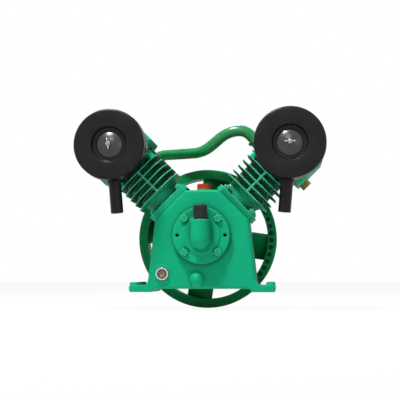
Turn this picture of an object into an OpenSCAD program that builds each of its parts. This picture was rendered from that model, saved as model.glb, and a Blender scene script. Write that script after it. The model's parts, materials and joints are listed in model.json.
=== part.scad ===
// Belt-driven twin-cylinder air compressor pump head.
// The crankshaft runs front to back along Y, and the two finned cylinders lean out to the
// left and the right of it. The front carries the bearing cover, the back the fan flywheel.
// The origin is the centre of the four foot holes, on the underside of the feet.

/* [Layout] */
// Height of the crankshaft's axis above the underside of the feet
shaft_h = 140; // [136:1:150]
// Lean of each cylinder from the vertical, in degrees
bank_angle = 45; // [43:1:47]
// Distance front to back between the axes of the two cylinders
bank_gap = 24; // [23:1:30]
// Distance from the crankshaft's axis to the seat of each cylinder
seat_dist = 110; // [108:1:116]

/* [Crankcase] */
// Depth of the crankcase, front to back
case_depth = 160; // [156:1:172]
// Height of the flat top above the crankshaft's axis
case_top = 114; // [110:1:118]
// Width across the shoulders, below the cylinder seats
shoulder_w = 234; // [226:1:244]
// Width of the crankcase where it meets the feet
skirt_w = 272; // [262:1:280]
// Thickness of the casting's walls
case_wall = 9; // [7:0.5:11]
// Chamfer round the front and rear faces
edge_chamfer = 4; // [2:0.5:6]
// Diameter of the front opening that the bearing cover closes
front_opening_d = 98; // [96:1:102]

/* [Feet] */
// Length over both feet
foot_len = 364; // [356:1:380]
// Depth of the feet, front to back
foot_depth = 160; // [156:1:164]
// Thickness of the feet
foot_t = 17; // [14:1:20]
// Rise of the underside between the feet
arch_rise = 8; // [4:1:10]
// Distance between the foot holes, left to right
bolt_x = 340; // [336:1:346]
// Distance between the foot holes, front to back
bolt_y = 134; // [124:1:136]
// Diameter of the foot holes
foot_hole_d = 12; // [9:0.5:13]
// Diameter of the boss round each foot hole
foot_boss_d = 22; // [18:1:24]
// Height of that boss above the foot
foot_boss_h = 8; // [4:1:10]

/* [Front cover] */
// Diameter of the bearing cover
cover_d = 142; // [138:1:146]
// Thickness of the cover's rim
cover_t = 14; // [12:1:18]
// Diameter of the raised middle
cover_step_d = 94; // [90:1:98]
// Height of the raised middle
cover_step_t = 3.5; // [2:0.5:6]
// Bolt circle of the cover's bolts
cover_pcd = 117; // [116:1:119]
// Diameter of the cover's bolts
cover_bolt_d = 10; // [8:0.5:11]
// Distance between the two jacking holes
jack_pitch = 118; // [116:1:120]
// Diameter of the jacking holes
jack_d = 8.5; // [6:0.5:10]
// Depth that the cover reaches into the crankcase
spigot_len = 25; // [24:0.5:28]
// Thickness of the gaskets
gasket_t = 0.8; // [0.5:0.1:1.5]

/* [Breather] */
// Diameter of the breather's upright boss
breather_d = 47; // [42:1:52]
// Height of the boss's top above the crankshaft's axis
breather_top = 37.5; // [32:0.5:42]
// Drop of the boss's round end below the crankshaft's axis
breather_drop = 10.5; // [6:0.5:14]
// Distance of the boss's axis in front of the cover's rim
breather_out = 22; // [18:0.5:26]
// Diameter of the breather's hole
breather_hole_d = 20; // [16:0.5:24]
// Largest diameter of the breather's cap
cap_d = 35; // [30:0.5:38]
// Height of the breather's cap
cap_h = 36; // [30:1:42]

/* [Crankshaft] */
// Throw of the crankpin, half of the stroke
crank_r = 30; // [28.5:0.5:31]
// Diameter of the crankpin
crankpin_d = 28; // [26:0.5:29]
// Radius of the crank webs
web_r = 47; // [46:0.5:48]
// Thickness of each crank web
web_t = 16; // [12:1:18]
// Diameter of the flywheel's seat on the shaft
nose_d = 35; // [32:0.5:38]
// Diameter of the thread at the shaft's end
thread_d = 24; // [20:1:28]
// Width of the key
key_w = 10; // [8:0.5:12]
// Height of the key
key_h = 8; // [7:0.5:9]
// Length of the key
key_len = 40; // [32:1:46]

/* [Bearings] */
// Outer diameter of both bearings
bearing_od = 80; // [78:0.5:82]
// Bore of the front bearing
front_bearing_id = 35; // [33:0.5:37]
// Width of the front bearing
front_bearing_w = 21; // [19:0.5:22]
// Diameter of the front bearing's balls
front_ball_d = 13.5; // [12:0.1:14]
// Bore of the rear bearing
rear_bearing_id = 40; // [39:0.5:41]
// Width of the rear bearing
rear_bearing_w = 18; // [17:0.5:20]
// Diameter of the rear bearing's balls
rear_ball_d = 11.9; // [11:0.1:13]
// Number of balls in each bearing
ball_n = 9; // [8:1:9]
// Outer diameter of the shaft seal
seal_od = 62; // [58:0.5:66]
// Width of the shaft seal
seal_w = 8; // [6:0.5:9]

/* [Flywheel] */
// Diameter of the flywheel
wheel_d = 370; // [356:1:374]
// Width of the rim
rim_w = 54; // [50:1:58]
// Radial thickness of the rim
rim_t = 24; // [22:1:30]
// Width of each belt groove at the rim
groove_w = 17; // [15:0.5:18]
// Depth of each belt groove
groove_depth = 14; // [10:0.5:15]
// Distance between the belt grooves
groove_pitch = 19; // [18.5:0.5:21]
// Half of the angle between a groove's sides, in degrees
groove_half_angle = 17; // [16:1:19]
// Diameter of the hub
hub_d = 76; // [70:1:84]
// Length of the hub
hub_len = 58; // [56:1:62]
// Distance from the hub's front face to the rim's front face
rim_setback = 5; // [3:1:8]
// Number of fan spokes
spoke_n = 4; // [3:1:5]
// Width of each fan spoke
spoke_w = 75; // [64:1:84]
// Thickness of each fan spoke
spoke_t = 9; // [7:0.5:12]
// Pitch of the fan spokes, in degrees
spoke_pitch = 30; // [24:1:34]
// Turn of the first spoke below the horizontal, in degrees
spoke_turn = 8.5; // [0:0.5:12]
// Diameter of the balance drillings
balance_d = 13.5; // [10:0.5:14]
// Depth of the balance drillings
balance_depth = 7; // [4:0.5:8]
// Number of balance drillings
balance_n = 14; // [0:1:20]
// Angle between two balance drillings, in degrees
balance_step = 6.5; // [6:0.5:8]

/* [Cylinders] */
// Bore of each cylinder
bore_d = 80; // [78:0.5:82]
// Height of each cylinder, from its seat to its top
cyl_h = 142; // [140:1:146]
// Width of the square base flange
base_flange_w = 120; // [116:1:124]
// Thickness of the base flange
base_flange_t = 15; // [12:1:18]
// Diameter of the plain neck above the base flange
neck_d = 93; // [90:1:96]
// Diameter of the finned barrel
barrel_d = 101; // [98:1:106]
// Distance between the cylinder studs
stud_pitch = 88; // [86:1:90]
// Diameter of the cylinder studs
stud_d = 10; // [8:0.5:11]
// Diameter of each cooling fin
fin_d = 156; // [148:1:160]
// Width across the flats of the cooling fins
fin_flat_w = 133; // [128:1:140]
// Number of cooling fins
fin_n = 6; // [3:1:6]
// Distance between the cooling fins
fin_pitch = 17.4; // [16:0.1:17.8]
// Thickness of a fin at its root
fin_root_t = 6; // [4:0.5:7]
// Thickness of a fin at its edge
fin_tip_t = 1.8; // [1.6:0.2:4]
// Width of the upright rib that ties the fins
rib_w = 5; // [3:0.5:8]

/* [Heads] */
// Width of each head
head_w = 164; // [156:1:168]
// Depth of each head, front to back
head_depth = 144; // [138:1:148]
// Height of the head, fins included
head_h = 84; // [80:1:88]
// Height of the head's solid body, below its fins
head_body_h = 36; // [34:1:40]
// Number of fins on the head
head_fin_n = 7; // [3:2:7]
// Thickness of the fins on the head
head_fin_t = 5; // [3:0.5:6]
// Distance between the head bolts
head_bolt_pitch = 100; // [98:1:104]
// Diameter of the head bolts
head_bolt_d = 10; // [8:0.5:11]
// Thickness of the valve plate
valve_plate_t = 8; // [6:0.5:10]
// Diameter of the suction port
suction_d = 38; // [34:0.5:40]
// Diameter of the discharge port
discharge_d = 20; // [16:0.5:22]
// Width across the flats of the outlet fitting
outlet_af = 24; // [22:0.5:28]
// Diameter of the outlet fitting's thread
outlet_d = 16; // [13:0.2:18]
// Length that the outlet fitting stands out of the head
outlet_len = 14; // [10:0.5:20]
// Distance of the left head's discharge port from the crankshaft's axis
left_port_dist = 291; // [288:1:294]
// Distance of the right head's pipe port from the crankshaft's axis
right_port_dist = 272; // [270:1:276]

/* [Pistons and rods] */
// Length of the piston
piston_len = 75; // [68:1:78]
// Height of the crown above the piston pin
crown_h = 38; // [36:0.5:42]
// Thickness of the piston's crown
crown_t = 8; // [6:0.5:10]
// Thickness of the piston's skirt
skirt_t = 6; // [5:0.5:7]
// Diameter of the piston pin
piston_pin_d = 20; // [18:0.5:22]
// Width of the connecting rods
rod_w = 22; // [20:0.5:22.5]
// Outer diameter of the rod's big end
big_end_d = 46; // [42:0.5:48]
// Outer diameter of the rod's small end
small_end_d = 32; // [30:0.5:36]
// Height of a compression ring
ring_h = 2.5; // [2:0.1:3]
// Height of the oil ring
oil_ring_h = 4; // [3:0.1:5]
// Radial depth of the rings
ring_t = 3.5; // [3:0.1:3.8]

/* [Air filters] */
// Distance of each filter's centre from the crankshaft's axis
filter_dist = 310.5; // [306:0.5:314]
// Distance of the filters' backs in front of the crankshaft's middle
filter_front = 96; // [94:1:102]
// Diameter of the filter's cover
filter_d = 176; // [168:1:180]
// Depth of the whole filter
filter_depth = 70; // [67:1:76]
// Depth of the filter's cover
filter_cover_h = 28; // [24:1:29]
// Thickness of the filter's sheet metal
sheet_t = 2; // [1.5:0.1:3]
// Diameter of the dished middle of the cover
dish_d = 86; // [80:1:92]
// Depth of that dish
dish_depth = 9; // [7:0.5:12]
// Diameter of the domed cap in the dish
dome_d = 66; // [60:1:70]
// Height of the domed cap
dome_h = 10; // [7:0.5:13]
// Outer diameter of the intake tube
tube_d = 31; // [28:0.5:34]
// Distance from the filter's axis to the mouth of the intake tube
tube_reach = 166; // [156:1:174]
// Lean of the intake tube towards the middle, in degrees
tube_lean = 5; // [0:1:8]
// Diameter of the stud through the filter
filter_stud_d = 8; // [6:0.5:10]
// Number of pleats in the filter element
pleat_n = 40; // [24:1:48]

/* [Pipe] */
// Outer diameter of the pipe between the heads
pipe_d = 30; // [26:0.5:32]
// Wall of the pipe
pipe_wall = 2; // [1.5:0.1:3]
// Bend radius of the pipe's two long bends
pipe_bend_r = 80; // [74:1:84]
// Bend radius of the bend into the right head
pipe_end_r = 40; // [36:1:42]
// Bend radius of the elbow behind the left head
elbow_r = 34; // [30:1:38]
// Height of the pipe's highest point above the crankshaft's axis
pipe_top = 279; // [273:0.5:281]
// Slope of the pipe's rising stretch, in degrees
pipe_rise = 38; // [36:0.5:40]
// Width across the flats of the pipe's nuts
pipe_nut_af = 36; // [34:0.5:38]
// Length of the pipe's nuts
pipe_nut_len = 8; // [6:0.5:8]

/* [Small fittings] */
// Diameter of the oil filler cap
filler_d = 36; // [32:0.5:40]
// Height of the oil filler cap
filler_h = 13; // [10:0.5:16]
// Diameter of the filler's neck hole
filler_hole_d = 24; // [20:0.5:27]
// Outer diameter of the oil sight glass
sight_d = 31.5; // [28:0.5:34]
// Diameter of the visible glass
sight_glass_d = 24.5; // [20:0.5:26]
// Distance of the sight glass to the left of the middle
sight_left = 98; // [92:1:102]
// Height of the sight glass above the underside of the feet
sight_up = 45; // [42:1:50]
// Diameter of the drain plug's domed head
drain_d = 35; // [30:0.5:38]
// Distance of the drain plug to the left of the middle
drain_left = 12; // [0:1:30]
// Height of the drain plug above the underside of the feet
drain_up = 31; // [30:1:36]

/* [Hidden] */

$fn = 64;
cut = 1;                 // overrun of every cut past the face that it opens
fit = 0.05;              // radial clearance of parts that run or slide in each other
press = 0.02;            // clearance of parts that are pushed home
case_half = case_depth / 2;
foot_drop = shaft_h - foot_t;
shoulder_half = shoulder_w / 2;
skirt_half = skirt_w / 2;
hex_factor = 1 / cos(30);

green = "#05a77a";
dark_green = "#0a7a55";
black = "#262626";
steel = "#b8bcc0";
red = "#bd2c13";
brass = "#8a8430";

// Places an upright piece in the frame of one bank: Z runs up the cylinder's axis from the
// crankshaft, and X points down the outer side. side is 1 for the right bank, -1 for the left.
module bank(side) {
    translate([0, side * bank_gap / 2, shaft_h])
        mirror([side < 0 ? 1 : 0, 0, 0])
            rotate([0, bank_angle, 0])
                children();
}

// Turns a piece made along Z so that it runs along Y towards the back, from y = 0.
module along_y() {
    rotate([-90, 0, 0]) children();
}

module at_shaft() {
    translate([0, 0, shaft_h]) children();
}

// A cylinder about the crankshaft's axis, from y0 to y1.
module shaft_disc(y0, y1, r) {
    translate([0, y0, 0]) along_y() cylinder(h = y1 - y0, r = r);
}

// A square plate with its four corners cut off, standing on z = 0.
module cut_corner_plate(w, d, t, corner) {
    x = w / 2;
    y = d / 2;
    linear_extrude(height = t)
        polygon([[x - corner, -y], [x, -y + corner], [x, y - corner], [x - corner, y],
            [-x + corner, y], [-x, y - corner], [-x, -y + corner], [-x + corner, -y]]);
}

module at_corners(pitch) {
    for (x = [-pitch / 2, pitch / 2], y = [-pitch / 2, pitch / 2])
        translate([x, y, 0]) children();
}

// A hexagon head or nut of width af across the flats.
module hexagon(af, t) {
    cylinder(h = t, d = af * hex_factor, $fn = 6);
}

/* Crankcase */

// The facets that carry the cylinders stand square to the bank axes. All of these take the
// inset from the outer skin, so the same outline gives the skin and the hollow.
function facet_x(z, inset) = (seat_dist - inset - z * cos(bank_angle)) / sin(bank_angle);
shoulder_z = (seat_dist - shoulder_half * sin(bank_angle)) / cos(bank_angle);
side_taper = (skirt_half - shoulder_half) / (shoulder_z + foot_drop);
function side_x(z, inset) = shoulder_half + side_taper * (shoulder_z - z) - inset;
function corner_z(inset) =
    ((seat_dist - inset) / sin(bank_angle) - shoulder_half - side_taper * shoulder_z + inset)
    / (cos(bank_angle) / sin(bank_angle) - side_taper);
function case_side(inset, low) = [
    [side_x(low, inset), low],
    [side_x(corner_z(inset), inset), corner_z(inset)],
    [facet_x(case_top - inset, inset), case_top - inset]];
function mirrored(points) = [for (i = [len(points) - 1 : -1 : 0]) [-points[i][0], points[i][1]]];

module case_prism(inset, low, depth) {
    side = case_side(inset, low);
    rotate([90, 0, 0])
        linear_extrude(height = depth, center = true)
            polygon(concat(side, mirrored(side)));
}

case_low = arch_rise - shaft_h;
foot_inner_in = 11;      // start of the foot's flat underside, inside the skirt
foot_inner = skirt_half - foot_inner_in;
foot_step = 7;           // run of the slanted step from the arch down to the foot
foot_fillet = 12;        // radius where the wall flares into the foot
fillet_steps = 5;

module foot() {
    z0 = -shaft_h;
    z1 = -foot_drop;
    wall_x = side_x(z1 + foot_fillet, 0);
    fillet = [for (i = [0 : fillet_steps])
        [wall_x + foot_fillet * (1 - cos(90 * i / fillet_steps)),
         z1 + foot_fillet * (1 - sin(90 * i / fillet_steps))]];
    rotate([90, 0, 0])
        linear_extrude(height = foot_depth, center = true)
            polygon(concat([[foot_inner - foot_step, z0 + arch_rise], [foot_inner, z0],
                [foot_len / 2 - foot_round, z0], [foot_len / 2, z0 + foot_round],
                [foot_len / 2, z1 - foot_round], [foot_len / 2 - foot_round, z1]],
                [for (i = [len(fillet) - 1 : -1 : 0]) fillet[i]],
                [[foot_inner - foot_step, z1 + foot_fillet]]));
    for (y = [-bolt_y / 2, bolt_y / 2])
        translate([bolt_x / 2, y, z0])
            cylinder(h = foot_t + foot_boss_h, d = foot_boss_d);
}
foot_round = 3;          // softened edge of the foot

relief_step = 7;         // width of the shoulder that a bearing's inner race stays clear of
rear_shoulder_t = 5;     // wall behind the rear bearing
rear_boss_out = 14;      // length of the rear bearing housing outside the case
rear_boss_r = bearing_od / 2 + case_wall;
rear_seat_y = case_half - rear_bearing_w - rear_shoulder_t;
rear_boss_y = case_half + rear_boss_out;
rear_relief_r = rear_bearing_id / 2 + relief_step;
seal_y = rear_boss_y - seal_w - press;
liner_t = 4.2;           // wall of the cylinder's spigot
cyl_spigot_r = bore_d / 2 + liner_t;
filler_boss_h = 8;       // height of the filler's neck above the flat top
filler_rim = 2;          // rim of the neck outside the cap
filler_boss_d = filler_d + 2 * filler_rim;
sight_rim = 5.25;        // rim of the casting round the sight glass
sight_boss_d = sight_d + 2 * sight_rim;
sight_boss_t = 2;
sight_shank_t = 2;       // wall of the bezel round the glass
sight_shank_d = sight_glass_d + 2 * sight_shank_t;
drain_boss_d = 30;
drain_boss_t = 3;
drain_thread_d = 20;

module crankcase_blank() {
    hull() {
        case_prism(0, case_low, case_depth - 2 * edge_chamfer);
        case_prism(edge_chamfer, case_low + edge_chamfer, case_depth);
    }
    foot();
    mirror([1, 0, 0]) foot();
    shaft_disc(case_half - edge_chamfer, rear_boss_y, rear_boss_r);
    translate([0, 0, case_top - case_wall])
        cylinder(h = filler_boss_h + case_wall, d = filler_boss_d);
    translate([-sight_left, -case_half - sight_boss_t, sight_up - shaft_h])
        along_y() cylinder(h = sight_boss_t + case_wall, d = sight_boss_d);
    translate([-drain_left, -case_half - drain_boss_t, drain_up - shaft_h])
        along_y() cylinder(h = drain_boss_t + case_wall, d = drain_boss_d);
}

module crankcase() {
    color(green) at_shaft() difference() {
        union() {
            difference() {
                crankcase_blank();
                case_prism(case_wall, case_low + case_wall, case_depth - 2 * case_wall);
            }
            shaft_disc(rear_seat_y, case_half - edge_chamfer, rear_boss_r);
        }
        shaft_disc(-case_half - cut, -case_half + case_wall + cut, front_opening_d / 2);
        shaft_disc(rear_seat_y - cut, rear_seat_y + rear_bearing_w + press, bearing_od / 2 + press);
        shaft_disc(rear_seat_y, rear_boss_y + cut, rear_relief_r);
        shaft_disc(seal_y, rear_boss_y + cut, seal_od / 2 + press);
        cylinder(h = case_top + filler_boss_h + cut, d = filler_hole_d);
        for (side = [-1, 1])
            translate([0, 0, -shaft_h]) bank(side) {
                translate([0, 0, seat_dist - 2 * case_wall])
                    cylinder(h = 2 * case_wall + cut, r = cyl_spigot_r);
                translate([0, 0, seat_dist - case_wall])
                    at_corners(stud_pitch) cylinder(h = case_wall + cut, d = stud_d + 2 * press);
            }
        for (a = [45 : 90 : 315])
            rotate([0, a, 0]) translate([cover_pcd / 2, -case_half - cut, 0])
                along_y() cylinder(h = case_wall + cut, d = cover_bolt_d + 2 * press);
        translate([-sight_left, -case_half - sight_boss_t - cut, sight_up - shaft_h])
            along_y() cylinder(h = case_wall + sight_boss_t + 2 * cut, d = sight_shank_d + 2 * press);
        translate([-drain_left, -case_half - drain_boss_t - cut, drain_up - shaft_h])
            along_y() cylinder(h = case_wall + drain_boss_t + 2 * cut, d = drain_thread_d + 2 * press);
        for (x = [-bolt_x / 2, bolt_x / 2], y = [-bolt_y / 2, bolt_y / 2])
            translate([x, y, -shaft_h - cut])
                cylinder(h = foot_t + foot_boss_h + 2 * cut, d = foot_hole_d);
    }
}

/* Front cover, with its gasket, bolts and breather */

cover_back_y = -case_half - gasket_t;
cover_front_y = cover_back_y - cover_t;
cover_face_y = cover_front_y - cover_step_t;
front_seat_y = -case_half + spigot_len;          // inner end of the cover's spigot
front_floor_y = front_seat_y - front_bearing_w;  // floor of the bearing's seat
front_relief_r = front_bearing_id / 2 + relief_step;
front_relief_t = 4;
breather_y = cover_front_y - breather_out;
breather_depth = 30;
breather_waist = 1.5;    // the block behind the boss is narrower by this on each side
vent_d = 12;             // passage from the breather into the crankcase
bolt_af_share = 1.7;     // width of a bolt's head, as a share of its thread
bolt_head_share = 0.65;  // height of a bolt's head, as a share of its thread
nut_share = 0.8;         // height of a nut, as a share of its thread
cap_spigot_len = 12;
bolt_head_af = bolt_af_share * cover_bolt_d;
bolt_head_t = bolt_head_share * cover_bolt_d;

module front_cover() {
    color(green) at_shaft() difference() {
        union() {
            shaft_disc(cover_front_y, cover_back_y, cover_d / 2);
            shaft_disc(cover_face_y, cover_front_y, cover_step_d / 2);
            shaft_disc(cover_back_y, front_seat_y, front_opening_d / 2 - press);
            translate([0, breather_y, -breather_drop])
                cylinder(h = breather_top + breather_drop, d = breather_d);
            translate([0, breather_y, -breather_drop]) sphere(d = breather_d);
            translate([-breather_d / 2 + breather_waist, breather_y, -breather_drop])
                cube([breather_d - 2 * breather_waist, cover_front_y - breather_y + cut,
                    breather_top + breather_drop - breather_waist]);
            translate([0, breather_y, -breather_drop]) along_y()
                cylinder(h = cover_front_y - breather_y + cut, r = breather_d / 2 - breather_waist);
        }
        translate([0, breather_y, breather_top - breather_depth + vent_d / 2])
            along_y() cylinder(h = front_floor_y - breather_y, d = vent_d);
        shaft_disc(front_floor_y - press, front_seat_y + cut, bearing_od / 2 + press);
        shaft_disc(front_floor_y - front_relief_t, front_seat_y, front_relief_r);
        translate([0, breather_y, breather_top - breather_depth])
            cylinder(h = breather_depth + cut, d = breather_hole_d);
        for (a = [45 : 90 : 315])
            rotate([0, a, 0]) translate([cover_pcd / 2, cover_front_y - cut, 0])
                along_y() cylinder(h = cover_t + 2 * cut, d = cover_bolt_d + 2 * press);
        for (x = [-jack_pitch / 2, jack_pitch / 2])
            translate([x, cover_front_y - cut, 0])
                along_y() cylinder(h = cover_t + 2 * cut, d = jack_d);
    }
}

module cover_gasket() {
    color(dark_green) at_shaft() difference() {
        shaft_disc(cover_back_y, -case_half, cover_d / 2);
        shaft_disc(cover_back_y - cut, -case_half + cut, front_opening_d / 2);
        for (a = [45 : 90 : 315])
            rotate([0, a, 0]) translate([cover_pcd / 2, cover_back_y - cut, 0])
                along_y() cylinder(h = gasket_t + 2 * cut, d = cover_bolt_d + 2 * press);
    }
}

module cover_bolts() {
    color(green) at_shaft()
        for (a = [45 : 90 : 315])
            rotate([0, a, 0]) translate([cover_pcd / 2, cover_front_y - bolt_head_t, 0])
                along_y() {
                    hexagon(bolt_head_af, bolt_head_t);
                    cylinder(h = bolt_head_t + cover_t + gasket_t + case_wall, d = cover_bolt_d);
                }
}

cap_foot_share = 0.9;    // width of the cap's foot, as a share of its top
module breather_cap() {
    color(black) translate([0, breather_y, shaft_h + breather_top])
        rotate_extrude()
            polygon([[0, -cap_spigot_len], [breather_hole_d / 2 - press, -cap_spigot_len],
                [breather_hole_d / 2 - press, 0], [cap_foot_share * cap_d / 2, 0],
                [cap_d / 2, cap_h - cap_round], [cap_d / 2 - cap_round, cap_h], [0, cap_h]]);
}
cap_round = 3;

/* Small fittings */

filler_stem_len = 16;
filler_flute_n = 12;
filler_flute_d = 5;
filler_seat_gap = 0.3;   // gap under the cap, at rest
module filler_cap() {
    color(red) translate([0, 0, shaft_h + case_top + filler_boss_h + filler_seat_gap]) {
        difference() {
            cylinder(h = filler_h, d = filler_d);
            for (i = [0 : filler_flute_n - 1])
                rotate([0, 0, 360 / filler_flute_n * i])
                    translate([filler_d / 2 + filler_flute_d / 4, 0, filler_h / 4])
                        cylinder(h = filler_h, d = filler_flute_d);
        }
        translate([0, 0, -filler_stem_len])
            cylinder(h = filler_stem_len + filler_h / 2, d = filler_hole_d - 2 * fit);
    }
}

sight_out = 5;           // how far the bezel stands out of its boss
sight_window_t = 3;
sight_dial_t = 1.5;
sight_star_t = 0.5;      // relief of the star on the dial
module sight_at() {
    translate([-sight_left, -case_half - sight_boss_t, sight_up]) children();
}

module sight_bezel() {
    color(steel) sight_at() difference() {
        union() {
            translate([0, -sight_out, 0]) along_y() cylinder(h = sight_out, d = sight_d);
            along_y() cylinder(h = case_wall + sight_boss_t, d = sight_shank_d);
        }
        translate([0, -sight_out - cut, 0]) along_y()
            cylinder(h = sight_out + case_wall + sight_boss_t + 2 * cut, d = sight_glass_d);
    }
}

module sight_window() {
    color("white", 0.4) sight_at() translate([0, -sight_star_t - sight_window_t, 0])
        along_y() cylinder(h = sight_window_t, d = sight_glass_d - 2 * press);
}

sight_star_share = 0.46; // outer radius of the dial's star, as a share of the glass
sight_star_waist_share = 0.42;
star_points = 5;
module sight_dial() {
    star_r = sight_star_share * sight_glass_d;
    step = 180 / star_points;
    color(steel) sight_at() {
        along_y() cylinder(h = sight_dial_t, d = sight_glass_d - 2 * press);
        translate([0, -sight_star_t, 0]) along_y()
            linear_extrude(height = sight_star_t + press)
                polygon([for (i = [0 : 2 * star_points - 1])
                    (i % 2 == 0 ? 1 : sight_star_waist_share) * star_r
                    * [sin(step * i), -cos(step * i)]]);
    }
}

drain_dome_h = 13;
drain_washer_t = 2;
dome_steps = 12;
module drain_plug() {
    dome_r = (pow(drain_d / 2, 2) + pow(drain_dome_h, 2)) / (2 * drain_dome_h);
    sweep = asin(drain_d / 2 / dome_r);
    top = -drain_dome_h - drain_washer_t;
    color(green) translate([-drain_left, -case_half - drain_boss_t, drain_up]) along_y()
        rotate_extrude()
            polygon(concat(
                [for (i = [0 : dome_steps]) let (a = sweep * i / dome_steps)
                    [dome_r * sin(a), top + dome_r * (1 - cos(a))]],
                [[drain_d / 2, 0], [drain_thread_d / 2, 0],
                [drain_thread_d / 2, drain_boss_t + case_wall], [0, drain_boss_t + case_wall]]));
}

/* Bearings and seal */

groove_share = 0.52;     // radius of a race's groove, as a share of the ball's diameter
race_share = 0.28;       // thickness of a race, as a share of the bearing's section
function pitch_r(id) = (bearing_od + id) / 4;
function race_t(id) = race_share * (bearing_od - id) / 2;

module race(r0, r1, w, id, ball_d) {
    rotate_extrude() difference() {
        translate([r0, 0]) square([r1 - r0, w]);
        translate([pitch_r(id), w / 2]) circle(r = groove_share * ball_d);
    }
}

module outer_race(w, id, ball_d) {
    race(bearing_od / 2 - race_t(id), bearing_od / 2, w, id, ball_d);
}

module inner_race(w, id, ball_d) {
    race(id / 2, id / 2 + race_t(id), w, id, ball_d);
}

cage_t = 2;
cage_w_share = 0.25;     // width of the ball cage, as a share of the bearing's width
module ball_cage(w, id, ball_d) {
    for (i = [0 : ball_n - 1])
        rotate([0, 0, 360 / ball_n * i])
            translate([pitch_r(id), 0, w / 2]) sphere(d = ball_d, $fn = 32);
    translate([0, 0, (w - cage_w_share * w) / 2]) difference() {
        cylinder(h = cage_w_share * w, r = pitch_r(id) + cage_t / 2);
        translate([0, 0, -cut])
            cylinder(h = cage_w_share * w + 2 * cut, r = pitch_r(id) - cage_t / 2);
    }
}

module in_front_seat() {
    translate([0, front_floor_y, shaft_h]) along_y() children();
}

module in_rear_seat() {
    translate([0, rear_seat_y, shaft_h]) along_y() children();
}

module front_bearing_outer() {
    color(steel) in_front_seat() outer_race(front_bearing_w, front_bearing_id, front_ball_d);
}

module front_bearing_inner() {
    color(steel) in_front_seat() inner_race(front_bearing_w, front_bearing_id, front_ball_d);
}

module front_bearing_balls() {
    color(steel) in_front_seat() ball_cage(front_bearing_w, front_bearing_id, front_ball_d);
}

module rear_bearing_outer() {
    color(steel) in_rear_seat() outer_race(rear_bearing_w, rear_bearing_id, rear_ball_d);
}

module rear_bearing_inner() {
    color(steel) in_rear_seat() inner_race(rear_bearing_w, rear_bearing_id, rear_ball_d);
}

module rear_bearing_balls() {
    color(steel) in_rear_seat() ball_cage(rear_bearing_w, rear_bearing_id, rear_ball_d);
}

seal_lip_t = 2;
module shaft_seal() {
    color(black) translate([0, seal_y, shaft_h]) along_y()
        rotate_extrude()
            polygon([[rear_bearing_id / 2 + fit, 0], [seal_od / 2, 0], [seal_od / 2, seal_w],
                [seal_od / 2 - seal_lip_t, seal_w], [seal_od / 2 - seal_lip_t, seal_lip_t],
                [rear_bearing_id / 2 + 2 * seal_lip_t, seal_lip_t],
                [rear_bearing_id / 2 + 2 * seal_lip_t, seal_w - seal_lip_t],
                [rear_bearing_id / 2 + fit, seal_w - seal_lip_t]]);
}

/* Crankshaft */

rod_play = 2;            // gap between the rods, and between rod and web
pin_half = bank_gap / 2 + rod_w / 2 + rod_play;
web_y = pin_half + web_t;
cheek_rim = 6;           // metal of the web beside the crankpin
cheek_w = crankpin_d + 2 * cheek_rim;
web_cut_share = 0.25;    // start of the web's cheek above the shaft, as a share of its width
collar_step = 5;         // height of the shaft's collars
front_collar_r = front_bearing_id / 2 + collar_step;
rear_collar_r = rear_bearing_id / 2 + collar_step;
hub_gap = 4;             // gap between the rear bearing housing and the flywheel's hub
nose_short = 2;          // the nose ends inside the hub, so that the nut can clamp it
hub_y = rear_boss_y + hub_gap;
nose_y = hub_y + hub_len - nose_short;
washer_t = 4;
washer_d = 52;
nut_af = 36;
nut_t = 18;
thread_end = 4;          // thread that stands out of the nut
thread_len = washer_t + nut_t + nose_short + thread_end;
key_y = hub_y + (hub_len - key_len) / 2;

module web() {
    difference() {
        cylinder(h = web_t, r = web_r);
        for (x = [-1, 1])
            translate([x * (cheek_w / 2 + web_r) - web_r, -web_r - web_cut_share * cheek_w, -cut])
                cube([2 * web_r, web_r, web_t + 2 * cut]);
    }
}

module crankshaft() {
    color(steel) at_shaft() difference() {
        union() {
            shaft_disc(front_floor_y, front_seat_y, front_bearing_id / 2);
            shaft_disc(front_seat_y, -web_y, front_collar_r);
            translate([0, -web_y, 0]) along_y() web();
            translate([0, 0, crank_r]) shaft_disc(-pin_half - cut, pin_half + cut, crankpin_d / 2);
            translate([0, pin_half, 0]) along_y() web();
            shaft_disc(web_y, rear_seat_y, rear_collar_r);
            shaft_disc(rear_seat_y, hub_y, rear_bearing_id / 2);
            shaft_disc(hub_y, nose_y, nose_d / 2);
            shaft_disc(nose_y, nose_y + thread_len, thread_d / 2);
        }
        translate([-key_w / 2 - press, key_y - press, nose_d / 2 - key_h / 2 - press])
            cube([key_w + 2 * press, key_len + 2 * press, key_h]);
    }
}

module shaft_key() {
    color(steel) translate([-key_w / 2, key_y, shaft_h + nose_d / 2 - key_h / 2])
        cube([key_w, key_len, key_h]);
}

/* Flywheel */

rim_y = hub_y + rim_setback;
rim_r = wheel_d / 2;
rim_inner_r = rim_r - rim_t;
blade_setback = 3;       // the fan spokes sit a little behind the middle of the hub
blade_y = hub_y + hub_len / 2 + blade_setback;
blade_root = 2;          // how deep the spokes run into the rim
groove_floor_w = groove_w - 2 * groove_depth * tan(groove_half_angle);
balance_edge = 2;        // metal between the balance drillings and the rim's inside
balance_r = rim_inner_r + balance_d / 2 + balance_edge;
balance_turn = 5;        // the row of drillings sits this much below the horizontal
bead_w = 4;

function groove(y) = [[rim_r, y - groove_w / 2], [rim_r - groove_depth, y - groove_floor_w / 2],
    [rim_r - groove_depth, y + groove_floor_w / 2], [rim_r, y + groove_w / 2]];

module rim() {
    mid = rim_w / 2;
    along_y() rotate_extrude($fn = 128)
        polygon(concat([[rim_inner_r, 0], [rim_r - bead_w / 2, 0], [rim_r, bead_w / 2]],
            groove(mid - groove_pitch / 2), groove(mid + groove_pitch / 2),
            [[rim_r, rim_w - bead_w / 2], [rim_r - bead_w / 2, rim_w], [rim_inner_r, rim_w]]));
}

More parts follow.
